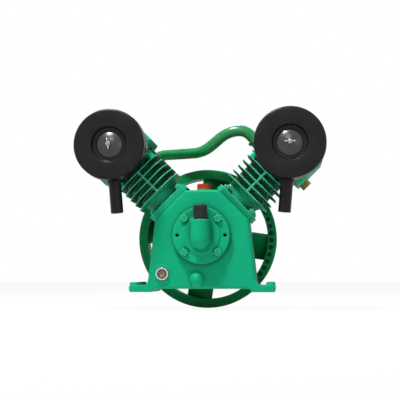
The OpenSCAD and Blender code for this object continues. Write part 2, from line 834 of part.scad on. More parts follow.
module spokes() {
    reach = rim_inner_r + blade_root;
    for (i = [0 : spoke_n - 1])
        rotate([0, spoke_turn + 360 / spoke_n * i, 0])
            rotate([spoke_pitch, 0, 0])
                translate([0, -spoke_t / 2, -spoke_w / 2])
                    cube([reach, spoke_t, spoke_w]);
}

module flywheel() {
    color(green) at_shaft() difference() {
        union() {
            translate([0, rim_y, 0]) rim();
            intersection() {
                translate([0, blade_y, 0]) spokes();
                shaft_disc(hub_y, hub_y + hub_len + rim_w, rim_inner_r + blade_root);
            }
            shaft_disc(hub_y, hub_y + hub_len, hub_d / 2);
        }
        shaft_disc(hub_y - cut, hub_y + hub_len + cut, nose_d / 2 + press);
        translate([-key_w / 2 - press, hub_y - cut, 0])
            cube([key_w + 2 * press, hub_len + 2 * cut, nose_d / 2 + key_h / 2 + press]);
        for (i = [0 : balance_n - 1])
            rotate([0, balance_turn + balance_step * (i - (balance_n - 1) / 2), 0])
                translate([balance_r, rim_y - cut, 0])
                    along_y() cylinder(h = balance_depth + cut, d = balance_d);
    }
}

module flywheel_washer() {
    color(steel) at_shaft() difference() {
        shaft_disc(hub_y + hub_len, hub_y + hub_len + washer_t, washer_d / 2);
        shaft_disc(hub_y + hub_len - cut, hub_y + hub_len + washer_t + cut, thread_d / 2 + fit);
    }
}

module flywheel_nut() {
    nut_y = hub_y + hub_len + washer_t;
    color(steel) at_shaft() difference() {
        translate([0, nut_y, 0]) along_y() hexagon(nut_af, nut_t);
        shaft_disc(nut_y - cut, nut_y + nut_t + cut, thread_d / 2 + press);
    }
}

/* Cylinders */

cyl_foot_z = seat_dist + gasket_t;
deck_z = seat_dist + cyl_h;
cyl_spigot_len = 12;
neck_z = cyl_foot_z + base_flange_t;
fin_top_gap = 7.4;       // from the middle of the last fin to the top
first_fin_z = deck_z - fin_top_gap - (fin_n - 1) * fin_pitch;
barrel_z = first_fin_z - fin_pitch / 2;
column_r = 10;           // the bosses that take the head bolts, between the two top fins
flange_corner = 10;

function fin(z) = [[barrel_d / 2, z - fin_root_t / 2], [fin_d / 2, z - fin_tip_t / 2],
    [fin_d / 2, z + fin_tip_t / 2], [barrel_d / 2, z + fin_root_t / 2]];
function fin_points() = [for (i = [0 : fin_n - 1]) each fin(first_fin_z + i * fin_pitch)];

module cylinder_body() {
    difference() {
        union() {
            translate([0, 0, cyl_foot_z])
                cut_corner_plate(base_flange_w, base_flange_w, base_flange_t, flange_corner);
            translate([0, 0, seat_dist - cyl_spigot_len])
                cylinder(h = cyl_spigot_len + gasket_t + cut, r = cyl_spigot_r - press);
            intersection() {
                rotate_extrude()
                    polygon(concat([[0, neck_z - cut], [neck_d / 2, neck_z - cut],
                        [neck_d / 2, barrel_z - fin_root_t], [barrel_d / 2, barrel_z]],
                        fin_points(), [[barrel_d / 2, deck_z - cut], [0, deck_z - cut]]));
                translate([-fin_flat_w / 2, -fin_flat_w / 2, 0])
                    cube([fin_flat_w, fin_flat_w, deck_z]);
            }
            translate([-rib_w / 2, -fin_flat_w / 2 + fin_tip_t / 2, first_fin_z])
                cube([rib_w, fin_flat_w - fin_tip_t, (fin_n - 1) * fin_pitch]);
            translate([0, 0, deck_z - fin_top_gap - fin_pitch])
                at_corners(head_bolt_pitch) cylinder(h = fin_top_gap + fin_pitch, r = column_r);
        }
        translate([0, 0, seat_dist - cyl_spigot_len - cut])
            cylinder(h = cyl_h + cyl_spigot_len + 2 * cut, d = bore_d);
        translate([0, 0, cyl_foot_z - cut])
            at_corners(stud_pitch) cylinder(h = base_flange_t + 2 * cut, d = stud_d + 2 * press);
        translate([0, 0, deck_z - head_bolt_deep])
            at_corners(head_bolt_pitch)
                cylinder(h = head_bolt_deep + cut, d = head_bolt_d + 2 * press);
    }
}

module base_gasket() {
    translate([0, 0, seat_dist]) difference() {
        cut_corner_plate(base_flange_w, base_flange_w, gasket_t, flange_corner);
        translate([0, 0, -cut]) {
            cylinder(h = gasket_t + 2 * cut, r = cyl_spigot_r);
            at_corners(stud_pitch) cylinder(h = gasket_t + 2 * cut, d = stud_d + 2 * press);
        }
    }
}

head_bolt_deep = 20;     // depth of the head bolts in the cylinder's bosses
stud_nut_t = nut_share * stud_d;
stud_nut_af = bolt_af_share * stud_d;
stud_tip = 4;
module cylinder_studs() {
    at_corners(stud_pitch) {
        translate([0, 0, seat_dist - case_wall])
            cylinder(h = case_wall + gasket_t + base_flange_t + stud_nut_t + stud_tip, d = stud_d);
        translate([0, 0, neck_z]) hexagon(stud_nut_af, stud_nut_t);
    }
}

module left_cylinder() {
    color(green) bank(-1) cylinder_body();
}

module right_cylinder() {
    color(green) bank(1) cylinder_body();
}

module left_base_gasket() {
    color(dark_green) bank(-1) base_gasket();
}

module right_base_gasket() {
    color(dark_green) bank(1) base_gasket();
}

module left_cylinder_studs() {
    color(green) bank(-1) cylinder_studs();
}

module right_cylinder_studs() {
    color(green) bank(1) cylinder_studs();
}

/* Pistons and rods, at the crankpin's highest point */

squish = 1.5;            // gap over the piston at the top of its stroke
rod_len = deck_z - squish - crown_h - crank_r;
pin_x = -crank_r * sin(bank_angle);
pin_z = crank_r * cos(bank_angle);
wrist_z = pin_z + sqrt(pow(rod_len, 2) - pow(pin_x, 2));
rod_tilt = atan(-pin_x / (wrist_z - pin_z));
piston_r = bore_d / 2 - fit;
land_t = 4;              // height of the lands between the rings
groove_play = 0.1;       // height clearance of a ring in its groove
boss_rim = 5;            // wall of the bosses round the piston pin
boss_r = piston_pin_d / 2 + boss_rim;
boss_reach_share = 0.6;  // how much of the skirt's wall the bosses stay short of
crown_land = 5;          // height of the land above the first ring
groove_deep = 0.2;       // radial play behind a ring
ring_z = [wrist_z + crown_h - crown_land - ring_h,
    wrist_z + crown_h - crown_land - 2 * ring_h - land_t,
    wrist_z + crown_h - crown_land - 2 * ring_h - 2 * land_t - oil_ring_h];
ring_heights = [ring_h, ring_h, oil_ring_h];

module piston() {
    top = wrist_z + crown_h;
    low = top - piston_len;
    inner_r = piston_r - skirt_t;
    difference() {
        union() {
            difference() {
                translate([0, 0, low]) cylinder(h = piston_len, r = piston_r);
                translate([0, 0, low - cut])
                    cylinder(h = piston_len - crown_t + cut, r = inner_r);
            }
            difference() {
                translate([0, 0, wrist_z]) rotate([90, 0, 0])
                    cylinder(h = 2 * (piston_r - boss_reach_share * skirt_t), r = boss_r,
                        center = true);
                translate([-piston_r, -rod_w / 2 - rod_play, low])
                    cube([2 * piston_r, rod_w + 2 * rod_play, piston_len]);
            }
        }
        translate([0, 0, wrist_z]) rotate([90, 0, 0])
            cylinder(h = 2 * piston_r + 2 * cut, r = piston_pin_d / 2 + fit, center = true);
        for (i = [0 : 2])
            translate([0, 0, ring_z[i] - groove_play]) difference() {
                cylinder(h = ring_heights[i] + 2 * groove_play, r = bore_d / 2 + cut);
                translate([0, 0, -cut])
                    cylinder(h = ring_heights[i] + 2 * groove_play + 2 * cut,
                        r = bore_d / 2 - ring_t - groove_deep);
            }
    }
}

module piston_rings() {
    for (i = [0 : 2])
        translate([0, 0, ring_z[i]]) difference() {
            cylinder(h = ring_heights[i], r = bore_d / 2 - press);
            translate([0, 0, -cut]) cylinder(h = ring_heights[i] + 2 * cut, r = bore_d / 2 - ring_t);
        }
}

module piston_pin() {
    translate([0, 0, wrist_z]) rotate([90, 0, 0])
        cylinder(h = 2 * (piston_r - skirt_t), d = piston_pin_d, center = true);
}

shank_w = 18;
shank_t = 14;
shank_web_t = 6;
module rod() {
    span = rod_len - big_end_d / 2 - small_end_d / 2;
    translate([pin_x, 0, pin_z]) rotate([0, rod_tilt, 0]) difference() {
        union() {
            rotate([90, 0, 0]) cylinder(h = rod_w, d = big_end_d, center = true);
            translate([0, 0, rod_len]) rotate([90, 0, 0])
                cylinder(h = rod_w, d = small_end_d, center = true);
            rotate([90, 0, 0]) linear_extrude(height = shank_t, center = true)
                polygon([[-shank_w * big_share, 0], [shank_w * big_share, 0],
                    [shank_w / 2, rod_len], [-shank_w / 2, rod_len]]);
        }
        for (y = [-1, 1])
            translate([0, y * (shank_t / 2 + shank_web_t / 2), 0])
                rotate([90, 0, 0]) linear_extrude(height = shank_t, center = true)
                    polygon([[-shank_w * pocket_share, big_end_d / 2 + shank_web_t],
                        [shank_w * pocket_share, big_end_d / 2 + shank_web_t],
                        [shank_w * pocket_share / 2, big_end_d / 2 + span - shank_web_t],
                        [-shank_w * pocket_share / 2, big_end_d / 2 + span - shank_web_t]]);
        rotate([90, 0, 0]) cylinder(h = rod_w + 2 * cut, r = crankpin_d / 2 + fit, center = true);
        translate([0, 0, rod_len]) rotate([90, 0, 0])
            cylinder(h = rod_w + 2 * cut, r = piston_pin_d / 2 + fit, center = true);
    }
}
big_share = 0.85;        // half width of the shank at the big end, as a share of its width
pocket_share = 0.5;

// The big end turns with the crankpin, and the rod above it stays with the piston. They part
// on a radius about the crankshaft that clears the big end all the way round.
part_play = 1;
part_gap = 0.3;
part_r = crank_r + big_end_d / 2 + part_play;

module part_disc(r) {
    rotate([90, 0, 0]) cylinder(h = rod_w + 2 * cut, r = r, center = true);
}

module rod_shank() {
    difference() {
        rod();
        part_disc(part_r + part_gap / 2);
    }
}

module big_end() {
    intersection() {
        rod();
        part_disc(part_r - part_gap / 2);
    }
}

module left_piston() {
    color(steel) bank(-1) piston();
}

module right_piston() {
    color(steel) bank(1) piston();
}

module left_piston_rings() {
    color(steel) bank(-1) piston_rings();
}

module right_piston_rings() {
    color(steel) bank(1) piston_rings();
}

module left_piston_pin() {
    color(steel) bank(-1) piston_pin();
}

module right_piston_pin() {
    color(steel) bank(1) piston_pin();
}

module left_rod() {
    color(steel) bank(-1) rod_shank();
}

module right_rod() {
    color(steel) bank(1) rod_shank();
}

module big_ends() {
    color(steel) for (side = [-1, 1]) bank(side) big_end();
}

/* Valve plates, gaskets and heads */

plate_z = deck_z + gasket_t;
head_z = plate_z + valve_plate_t + gasket_t;
plate_w = 132;           // width of the valve plate and its gaskets
plate_corner = 12;
chamber_w = 112;
chamber_d = 35;
chamber_gap = 9;         // wall between the two chambers
chamber_h = head_body_h - case_wall;
chamber_y = (chamber_d + chamber_gap) / 2;
port_hole_d = 12;
port_x = 22;
port_y = 13;
reed_w = 14;
reed_len = 64;
reed_t = 0.5;

module bolt_holes(t) {
    at_corners(head_bolt_pitch) cylinder(h = t, d = head_bolt_d + 2 * press);
}

// The suction chamber lies at the front of the head, the discharge chamber at the back.
module chambers(t) {
    for (y = [-chamber_y, chamber_y])
        translate([-chamber_w / 2, y - chamber_d / 2, 0]) cube([chamber_w, chamber_d, t]);
}

module plate(t) {
    cut_corner_plate(plate_w, plate_w, t, plate_corner);
}

module valve_plate() {
    translate([0, 0, plate_z]) difference() {
        plate(valve_plate_t);
        translate([0, 0, -cut]) {
            bolt_holes(valve_plate_t + 2 * cut);
            for (x = [-port_x, port_x], y = [-port_y, port_y])
                translate([x, y, 0]) cylinder(h = valve_plate_t + 2 * cut, d = port_hole_d);
        }
    }
}

// The suction reed lies under the plate, the discharge reed on top of it.
module reeds() {
    for (i = [0, 1])
        translate([-reed_len / 2, (2 * i - 1) * port_y - reed_w / 2,
            i == 0 ? plate_z - reed_t : plate_z + valve_plate_t])
            cube([reed_len, reed_w, reed_t]);
}

module valve_reeds() {
    color(steel) {
        bank(-1) reeds();
        bank(1) reeds();
    }
}

module head_gaskets() {
    translate([0, 0, deck_z]) difference() {
        plate(gasket_t);
        translate([0, 0, -cut]) {
            cylinder(h = gasket_t + 2 * cut, d = bore_d);
            bolt_holes(gasket_t + 2 * cut);
        }
    }
    translate([0, 0, plate_z + valve_plate_t]) difference() {
        plate(gasket_t);
        translate([0, 0, -cut]) {
            chambers(gasket_t + 2 * cut);
            bolt_holes(gasket_t + 2 * cut);
        }
    }
}

port_rim = 8;            // wall of the bosses round the ports
port_boss_r = suction_d / 2 + port_rim;
pipe_boss_r = discharge_d / 2 + port_rim;
port_boss_out = 8;
side_boss_out = 2;
head_half = head_w / 2;
head_half_y = head_depth / 2;
head_fin_pitch = (head_w - head_fin_t) / (head_fin_n - 1);
head_fin_margin = 4;
pocket_d = 24;           // pockets in the fins for the head bolts
outlet_wall = 5;         // wall of the outlet fitting's screwed end
outlet_rise = 10;        // outlet's axis above the middle of its hole's lowest place
outlet_z = head_z + outlet_rise + outlet_d / 2;

module head_body(side) {
    difference() {
        union() {
            translate([0, 0, head_z])
                cut_corner_plate(head_w, head_depth, head_body_h, flange_corner);
            difference() {
                for (i = [0 : head_fin_n - 1])
                    translate([(i - (head_fin_n - 1) / 2) * head_fin_pitch - head_fin_t / 2,
                        -head_half_y + flange_corner, head_z + head_body_h - cut])
                        cube([head_fin_t, head_depth - 2 * flange_corner,
                            head_h - head_body_h + cut]);
                translate([0, 0, head_z + head_body_h])
                    at_corners(head_bolt_pitch) cylinder(h = head_h, d = pocket_d);
            }
            translate([0, -head_half_y - port_boss_out, filter_dist])
                along_y() cylinder(h = head_half_y, r = port_boss_r);
            if (side < 0)
                translate([0, head_half_y + port_boss_out, left_port_dist])
                    rotate([90, 0, 0]) cylinder(h = head_half_y, r = pipe_boss_r);
            else
                translate([-head_half - side_boss_out, chamber_y, right_port_dist])
                    rotate([0, 90, 0]) cylinder(h = case_wall, r = pipe_boss_r);
        }
        translate([0, 0, head_z - cut]) {
            chambers(chamber_h + cut);
            bolt_holes(head_body_h + 2 * cut);
        }
        translate([0, -head_half_y - port_boss_out - cut, filter_dist])
            along_y() cylinder(h = head_half_y - case_wall, d = suction_d);
        translate([0, -chamber_y - chamber_d / 4, head_z + chamber_h - cut])
            cylinder(h = filter_dist - head_z - chamber_h, d = discharge_d);
        if (side < 0) {
            translate([0, head_half_y + port_boss_out + cut, left_port_dist])
                rotate([90, 0, 0]) cylinder(h = head_half_y - case_wall, d = discharge_d);
            translate([0, chamber_y + chamber_d / 4, head_z + chamber_h - cut])
                cylinder(h = left_port_dist - head_z - chamber_h + cut, d = discharge_d / 2);
        } else {
            translate([-head_half - side_boss_out - cut, chamber_y, right_port_dist])
                rotate([0, 90, 0]) cylinder(h = head_half, d = discharge_d);
            translate([chamber_w / 4, chamber_y, outlet_z])
                rotate([0, 90, 0]) cylinder(h = head_w, d = outlet_d + outlet_wall);
        }
    }
}

head_bolt_t = bolt_head_share * head_bolt_d;
module head_bolts() {
    translate([0, 0, deck_z - head_bolt_deep])
        at_corners(head_bolt_pitch) {
            cylinder(h = head_z - deck_z + head_bolt_deep + head_body_h, d = head_bolt_d);
            translate([0, 0, head_z - deck_z + head_bolt_deep + head_body_h])
                hexagon(bolt_af_share * head_bolt_d, head_bolt_t);
        }
}

module left_valve_plate() {
    color(steel) bank(-1) valve_plate();
}

module right_valve_plate() {
    color(steel) bank(1) valve_plate();
}

module left_head_gaskets() {
    color(dark_green) bank(-1) head_gaskets();
}

module right_head_gaskets() {
    color(dark_green) bank(1) head_gaskets();
}

module left_head() {
    color(green) bank(-1) head_body(-1);
}

module right_head() {
    color(green) bank(1) head_body(1);
}

module left_head_bolts() {
    color(green) bank(-1) head_bolts();
}

module right_head_bolts() {
    color(green) bank(1) head_bolts();
}

module outlet_fitting() {
    color(brass) bank(1) translate([head_half, chamber_y, outlet_z]) rotate([0, 90, 0])
        difference() {
            union() {
                hexagon(outlet_af, outlet_len);
                translate([0, 0, -outlet_shank])
                    cylinder(h = outlet_shank + cut, d = outlet_d + outlet_wall - 2 * press);
            }
            translate([0, 0, -outlet_shank - cut])
                cylinder(h = outlet_shank + outlet_len + 2 * cut, d = outlet_d);
        }
}
outlet_shank = 14;

/* Air filters. Each is made about its own axis: Z runs forward out of the pump. */

plug_len = 14;           // how deep the filter's neck sits in the head
body_r = filter_d / 2 - sheet_t - fit;
cover_lap = 4;           // how far the cover reaches over the body
filter_body_h = filter_depth - filter_cover_h + cover_lap;
element_gap = 8;         // air round the element
element_r = body_r - element_gap;
element_rim = 2;         // the element's core is this much larger than the dish
element_core_r = dish_d / 2 + element_rim;
tube_z = 22;             // height of the intake tube's axis above the filter's back
tube_wall = 2.5;
tube_bore = tube_d - 2 * tube_wall;
collar_step_r = 3.5;     // the collar at the root of the intake tube
collar_len = 7;
cover_round = 6;         // softened front edge of the cover
dome_z = filter_depth - dish_depth;

module filter_at(side) {
    translate([side * filter_dist * sin(bank_angle), -filter_front,
        shaft_h + filter_dist * cos(bank_angle)])
        rotate([90, 0, 0]) children();
}

// Turns a piece made along Z so that it runs down the intake tube's axis.
module down_tube(side) {
    translate([0, 0, tube_z]) rotate([0, 0, -90 - side * tube_lean])
        rotate([0, 90, 0]) children();
}

module filter_body(side) {
    neck_len = filter_front - head_half_y - port_boss_out + side * bank_gap / 2 + plug_len;
    difference() {
        union() {
            cylinder(h = filter_body_h, r = body_r);
            translate([0, 0, -neck_len])
                cylinder(h = neck_len + cut, d = suction_d - 2 * press);
            down_tube(side) translate([0, 0, body_r / 2]) cylinder(h = tube_reach - body_r / 2, d = tube_d);
            down_tube(side) translate([0, 0, body_r / 2])
                cylinder(h = body_r / 2 + collar_len, d = tube_d + 2 * collar_step_r);
        }
        translate([0, 0, sheet_t]) cylinder(h = filter_depth, r = body_r - sheet_t);
        translate([0, 0, -neck_len - cut])
            cylinder(h = neck_len + filter_depth, d = suction_d - 4 * sheet_t);
        down_tube(side) translate([0, 0, body_r / 2]) cylinder(h = tube_reach, d = tube_bore);
    }
    translate([0, 0, sheet_t / 2]) difference() {
        translate([-suction_d / 2, -sheet_t * 3, 0]) cube([suction_d, sheet_t * 6, sheet_t * 2]);
        translate([0, 0, -cut]) cylinder(h = sheet_t * 4, d = filter_stud_d + 2 * press);
    }
}

module filter_cover() {
    r = filter_d / 2;
    low = filter_depth - filter_cover_h;
    rotate_extrude()
            polygon([[r - sheet_t, low], [r, low], [r, filter_depth - cover_round],
                [r - cover_round * soft_share, filter_depth - cover_round * soft_share],
                [r - cover_round, filter_depth],
                [dish_d / 2, filter_depth], [dish_d / 2 - dish_slope, dome_z],
                [filter_stud_d / 2 + fit, dome_z], [filter_stud_d / 2 + fit, dome_z - sheet_t],
                [dish_d / 2 - dish_slope + sheet_t, dome_z - sheet_t],
                [dish_d / 2 + sheet_t, filter_depth - sheet_t],
                [r - cover_round, filter_depth - sheet_t],
                [r - sheet_t, filter_depth - cover_round]]);
}
soft_share = 0.29;       // where a round corner crosses its middle, as a share of its radius
dish_slope = 4;

module filter_element() {
    translate([0, 0, sheet_t]) linear_extrude(height = dome_z - 2 * sheet_t - fit) difference() {
        polygon([for (i = [0 : 2 * pleat_n - 1])
            (element_r - (i % 2) * pleat_depth) * [cos(180 / pleat_n * i), sin(180 / pleat_n * i)]]);
        circle(r = element_core_r - pleat_depth);
    }
}
pleat_depth = 8;         // depth of the element's pleats

module filter_dome() {
    dome_r = (pow(dome_d / 2, 2) + pow(dome_h, 2)) / (2 * dome_h);
    translate([0, 0, dome_z]) difference() {
        intersection() {
            translate([0, 0, dome_h - dome_r]) sphere(r = dome_r, $fn = 96);
            cylinder(h = dome_h + cut, d = dome_d);
        }
        translate([0, 0, -cut]) cylinder(h = dome_h + 2 * cut, d = filter_stud_d + 2 * fit);
    }
}

wing_gap = 0.3;
wing_nut_d = 15;
wing_nut_h = 8;
wing_span = 30;
wing_t = 3.5;
wing_h = 11;
stud_out = 4;
module filter_stud() {
    top = dome_z + dome_h + wing_gap + wing_nut_h + stud_out;
    translate([0, 0, sheet_t / 2]) cylinder(h = top - sheet_t / 2, d = filter_stud_d);
}

module wing_nut(turn) {
    translate([0, 0, dome_z + dome_h + wing_gap]) rotate([0, 0, turn]) difference() {
        union() {
            cylinder(h = wing_nut_h, d = wing_nut_d);
            for (x = [-1, 1])
                translate([x * (wing_span - wing_h) / 2, 0, wing_nut_h])
                    rotate([90, 0, 0]) cylinder(h = wing_t, d = wing_h, center = true);
        }
        translate([0, 0, -cut])
            cylinder(h = wing_nut_h + wing_h + 2 * cut, d = filter_stud_d + 2 * fit);
    }
}

module left_filter_body() {
    color(black) filter_at(-1) filter_body(-1);
}

module right_filter_body() {
    color(black) filter_at(1) filter_body(1);
}

module left_filter_cover() {
    color(black) filter_at(-1) filter_cover();
}

module right_filter_cover() {
    color(black) filter_at(1) filter_cover();
}

module left_filter_element() {
    color("beige") filter_at(-1) filter_element();
}

module right_filter_element() {
    color("beige") filter_at(1) filter_element();
}

module left_filter_dome() {
    color(black) filter_at(-1) filter_dome();
}

module right_filter_dome() {
    color(black) filter_at(1) filter_dome();
}

module filter_studs() {
    color(steel) for (side = [-1, 1]) filter_at(side) filter_stud();
}

module left_wing_nut() {
    color(steel) filter_at(-1) wing_nut(100);
}

module right_wing_nut() {
    color(steel) filter_at(1) wing_nut(0);
}

/* Pipe between the heads */

// The pipe leaves the left head backwards, turns to the right behind the left cylinder, then
// rises between the banks and drops into the inner side of the right head. Its middle line is
// worked out in the frame of the crankshaft's axis.
elbow_lead = 12;         // straight stretch behind the left head
pipe_steps = 8;          // rings in each bend
level_steps = 4;         // rings in the level stretch
pipe_lift = 21;          // how far the pipe climbs behind the left head
lift_run = 60;           // run of that climb
pipe_sides = 20;
level_z = left_port_dist * cos(bank_angle);
elbow_x = -left_port_dist * sin(bank_angle);
left_face_y = -bank_gap / 2 + head_half_y + port_boss_out;
elbow_y = left_face_y + elbow_lead;
level_y = elbow_y + elbow_r;
right_y = bank_gap / 2 + chamber_y;
bend_end_z = pipe_top - pipe_end_r * (1 - cos(bank_angle));
bend_end_x = (right_port_dist - bend_end_z * cos(bank_angle)) / sin(bank_angle);
apex_x = bend_end_x - pipe_end_r * sin(bank_angle);
run_z = level_z + pipe_lift;
lift_x = elbow_x + elbow_r;
slope_rise = pipe_top - run_z - 2 * pipe_bend_r * (1 - cos(pipe_rise));
slope_x = apex_x - pipe_bend_r * sin(pipe_rise) - slope_rise / tan(pipe_rise);
rise_x = slope_x - pipe_bend_r * sin(pipe_rise);
face_x = right_port_dist * sin(bank_angle) - (head_half + side_boss_out) * cos(bank_angle);
face_z = right_port_dist * cos(bank_angle) + (head_half + side_boss_out) * sin(bank_angle);

function eased(t) = t * t * (3 - 2 * t);
function pipe_y(x) = level_y + (right_y - level_y)
    * eased(min(1, max(0, (x - lift_x) / (apex_x - lift_x))));
function swept(p) = [p[0], pipe_y(p[0]), p[1]];
pipe_path = concat(
    [[elbow_x, left_face_y, level_z]],
    [for (i = [0 : pipe_steps]) let (a = 90 * i / pipe_steps)
        [elbow_x + elbow_r * (1 - cos(a)), elbow_y + elbow_r * sin(a), level_z]],
    [for (i = [1 : pipe_steps]) let (t = i / pipe_steps)
        swept([lift_x + lift_run * t, level_z + pipe_lift * eased(t)])],
    [for (i = [1 : level_steps - 1])
        swept([lift_x + lift_run + (rise_x - lift_x - lift_run) * i / level_steps, run_z])],
    [for (i = [0 : pipe_steps]) let (a = pipe_rise * i / pipe_steps)
        swept([rise_x + pipe_bend_r * sin(a), run_z + pipe_bend_r * (1 - cos(a))])],
    [for (i = [0 : pipe_steps]) let (a = pipe_rise * (1 - i / pipe_steps))
        swept([apex_x - pipe_bend_r * sin(a), pipe_top - pipe_bend_r * (1 - cos(a))])],
    [for (i = [1 : pipe_steps]) let (a = bank_angle * i / pipe_steps)
        swept([apex_x + pipe_end_r * sin(a), pipe_top - pipe_end_r * (1 - cos(a))])],
    [[face_x, right_y, face_z]]);

function unit(v) = v / norm(v);
function heading(i) = i == 0 ? [0, 1, 0]
    : i == len(pipe_path) - 1 ? [cos(bank_angle), 0, -sin(bank_angle)]
    : unit(unit(pipe_path[i + 1] - pipe_path[i]) + unit(pipe_path[i] - pipe_path[i - 1]));
function ring_points(i, r) = let (t = heading(i), u = unit(cross(t, [0, 0, 1])), v = cross(u, t))
    [for (k = [0 : pipe_sides - 1])
        pipe_path[i] + r * (cos(360 * k / pipe_sides) * u + sin(360 * k / pipe_sides) * v)];
function skin(first, flip) = [for (i = [0 : len(pipe_path) - 2], k = [0 : pipe_sides - 1])
    let (a = first + i * pipe_sides + k, b = first + i * pipe_sides + (k + 1) % pipe_sides)
        flip ? [a, b, b + pipe_sides, a + pipe_sides] : [a, a + pipe_sides, b + pipe_sides, b]];
function end_face(outer, inner, flip) = [for (k = [0 : pipe_sides - 1])
    let (n = (k + 1) % pipe_sides)
        flip ? [outer + k, inner + k, inner + n, outer + n]
             : [outer + k, outer + n, inner + n, inner + k]];

module discharge_pipe() {
    rings = len(pipe_path);
    inner = rings * pipe_sides;
    last = (rings - 1) * pipe_sides;
    color(green) at_shaft() polyhedron(
        points = concat([for (i = [0 : rings - 1]) each ring_points(i, pipe_d / 2)],
            [for (i = [0 : rings - 1]) each ring_points(i, pipe_d / 2 - pipe_wall)]),
        faces = concat(skin(0, false), skin(inner, true),
            end_face(0, inner, false), end_face(last, inner + last, true)));
}

nut_clear = 0.2;         // radial gap between the pipe and its nuts
module pipe_nut() {
    difference() {
        hexagon(pipe_nut_af, pipe_nut_len);
        translate([0, 0, -cut]) cylinder(h = pipe_nut_len + 2 * cut, d = pipe_d + 2 * nut_clear);
    }
}

module pipe_nuts() {
    color(green) {
        at_shaft() translate([elbow_x, left_face_y, level_z]) along_y() pipe_nut();
        bank(1) translate([-head_half - side_boss_out, chamber_y, right_port_dist])
            rotate([0, -90, 0]) pipe_nut();
    }
}

crankcase();
front_cover();
cover_gasket();
cover_bolts();
breather_cap();
filler_cap();
sight_bezel();
sight_window();
sight_dial();
drain_plug();
front_bearing_outer();
front_bearing_inner();
front_bearing_balls();
rear_bearing_outer();
rear_bearing_inner();
rear_bearing_balls();
shaft_seal();
crankshaft();
shaft_key();
flywheel();
flywheel_washer();
flywheel_nut();
left_cylinder();
right_cylinder();
left_base_gasket();
right_base_gasket();
left_cylinder_studs();
right_cylinder_studs();
left_piston();
right_piston();
left_piston_rings();
right_piston_rings();
left_piston_pin();
right_piston_pin();
left_rod();
right_rod();
big_ends();
left_valve_plate();
right_valve_plate();
left_head_gaskets();
right_head_gaskets();
left_head();
right_head();
left_head_bolts();
right_head_bolts();
left_filter_body();
right_filter_body();
left_filter_cover();
right_filter_cover();
left_filter_element();
right_filter_element();
left_filter_dome();
right_filter_dome();
filter_studs();
left_wing_nut();
right_wing_nut();
valve_reeds();
discharge_pipe();
pipe_nuts();
outlet_fitting();
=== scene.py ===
import json
import math
import bpy
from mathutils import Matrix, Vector


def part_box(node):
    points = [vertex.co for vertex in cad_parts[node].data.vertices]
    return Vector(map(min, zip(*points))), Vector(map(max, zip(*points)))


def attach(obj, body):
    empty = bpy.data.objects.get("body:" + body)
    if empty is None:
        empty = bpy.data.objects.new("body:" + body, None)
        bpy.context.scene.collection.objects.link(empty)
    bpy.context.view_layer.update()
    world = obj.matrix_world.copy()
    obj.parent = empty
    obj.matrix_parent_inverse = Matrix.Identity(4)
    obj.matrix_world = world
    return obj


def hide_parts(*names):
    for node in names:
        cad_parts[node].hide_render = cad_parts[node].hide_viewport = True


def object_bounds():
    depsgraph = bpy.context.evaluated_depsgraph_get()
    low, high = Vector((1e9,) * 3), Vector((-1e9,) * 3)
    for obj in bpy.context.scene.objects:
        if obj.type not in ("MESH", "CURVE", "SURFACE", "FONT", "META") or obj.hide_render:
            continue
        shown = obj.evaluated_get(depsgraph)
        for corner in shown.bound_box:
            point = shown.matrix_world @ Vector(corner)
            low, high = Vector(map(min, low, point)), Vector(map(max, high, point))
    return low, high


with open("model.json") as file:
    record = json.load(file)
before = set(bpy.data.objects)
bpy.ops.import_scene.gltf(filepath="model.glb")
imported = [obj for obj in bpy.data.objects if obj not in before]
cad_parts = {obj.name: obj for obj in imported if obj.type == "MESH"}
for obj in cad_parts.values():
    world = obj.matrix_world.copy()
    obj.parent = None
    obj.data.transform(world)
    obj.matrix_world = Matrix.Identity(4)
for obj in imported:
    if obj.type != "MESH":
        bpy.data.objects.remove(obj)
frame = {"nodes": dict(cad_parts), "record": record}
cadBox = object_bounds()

nodes = frame["nodes"]
shaftHeight = 0.140  # the crankshaft's axis above the feet, in metres
bankAngle = math.radians(45)  # how far each cylinder leans out
mergeReach = 0.00001  # corners closer than this become one, in metres
firstColour, secondColour, mixedColour = 6, 7, 2  # sockets of a colour mix: two in, one out
print("frame loaded:", len(nodes), "nodes")

# Camera, floor and light

cameraSetup = {"place": (0.1985, -2.336, 0.0414), "yaw": -0.0894, "pitch": 0.0823, "lens": 82.2,
               "sensor": 36}
yaw, pitch = cameraSetup["yaw"], cameraSetup["pitch"]
ahead = Vector((math.sin(yaw) * math.cos(pitch), math.cos(yaw) * math.cos(pitch),
                math.sin(pitch)))
camera = bpy.data.objects.new("camera", bpy.data.cameras.new("camera"))
bpy.context.scene.collection.objects.link(camera)
camera.data.lens = cameraSetup["lens"]
camera.data.sensor_width = cameraSetup["sensor"]
camera.location = cameraSetup["place"]
camera.rotation_mode = "QUATERNION"
camera.rotation_quaternion = ahead.to_track_quat("-Z", "Y")
bpy.context.scene.camera = camera
bpy.context.scene.view_settings.view_transform = "Standard"


def toLinear(hexColour):  # the sRGB curve, undone
    channels = [int(hexColour[i:i + 2], 16) / 255 for i in (1, 3, 5)]
    return [c / 12.92 if c <= 0.04045 else ((c + 0.055) / 1.055) ** 2.4 for c in channels] + [1.0]


def addNode(tree, kind, settings=None, links=None):
    node = tree.nodes.new(kind)
    for name, value in (settings or {}).items():
        if name == "ramp":  # two pairs of position and hex colour
            for stop, (position, colour) in zip(node.color_ramp.elements, value):
                stop.position = position
                stop.color = toLinear(colour)
        elif isinstance(name, str) and hasattr(node, name):
            setattr(node, name, value)
        else:
            node.inputs[name].default_value = value
    for name, socket in (links or {}).items():
        tree.links.new(socket, node.inputs[name])
    return node


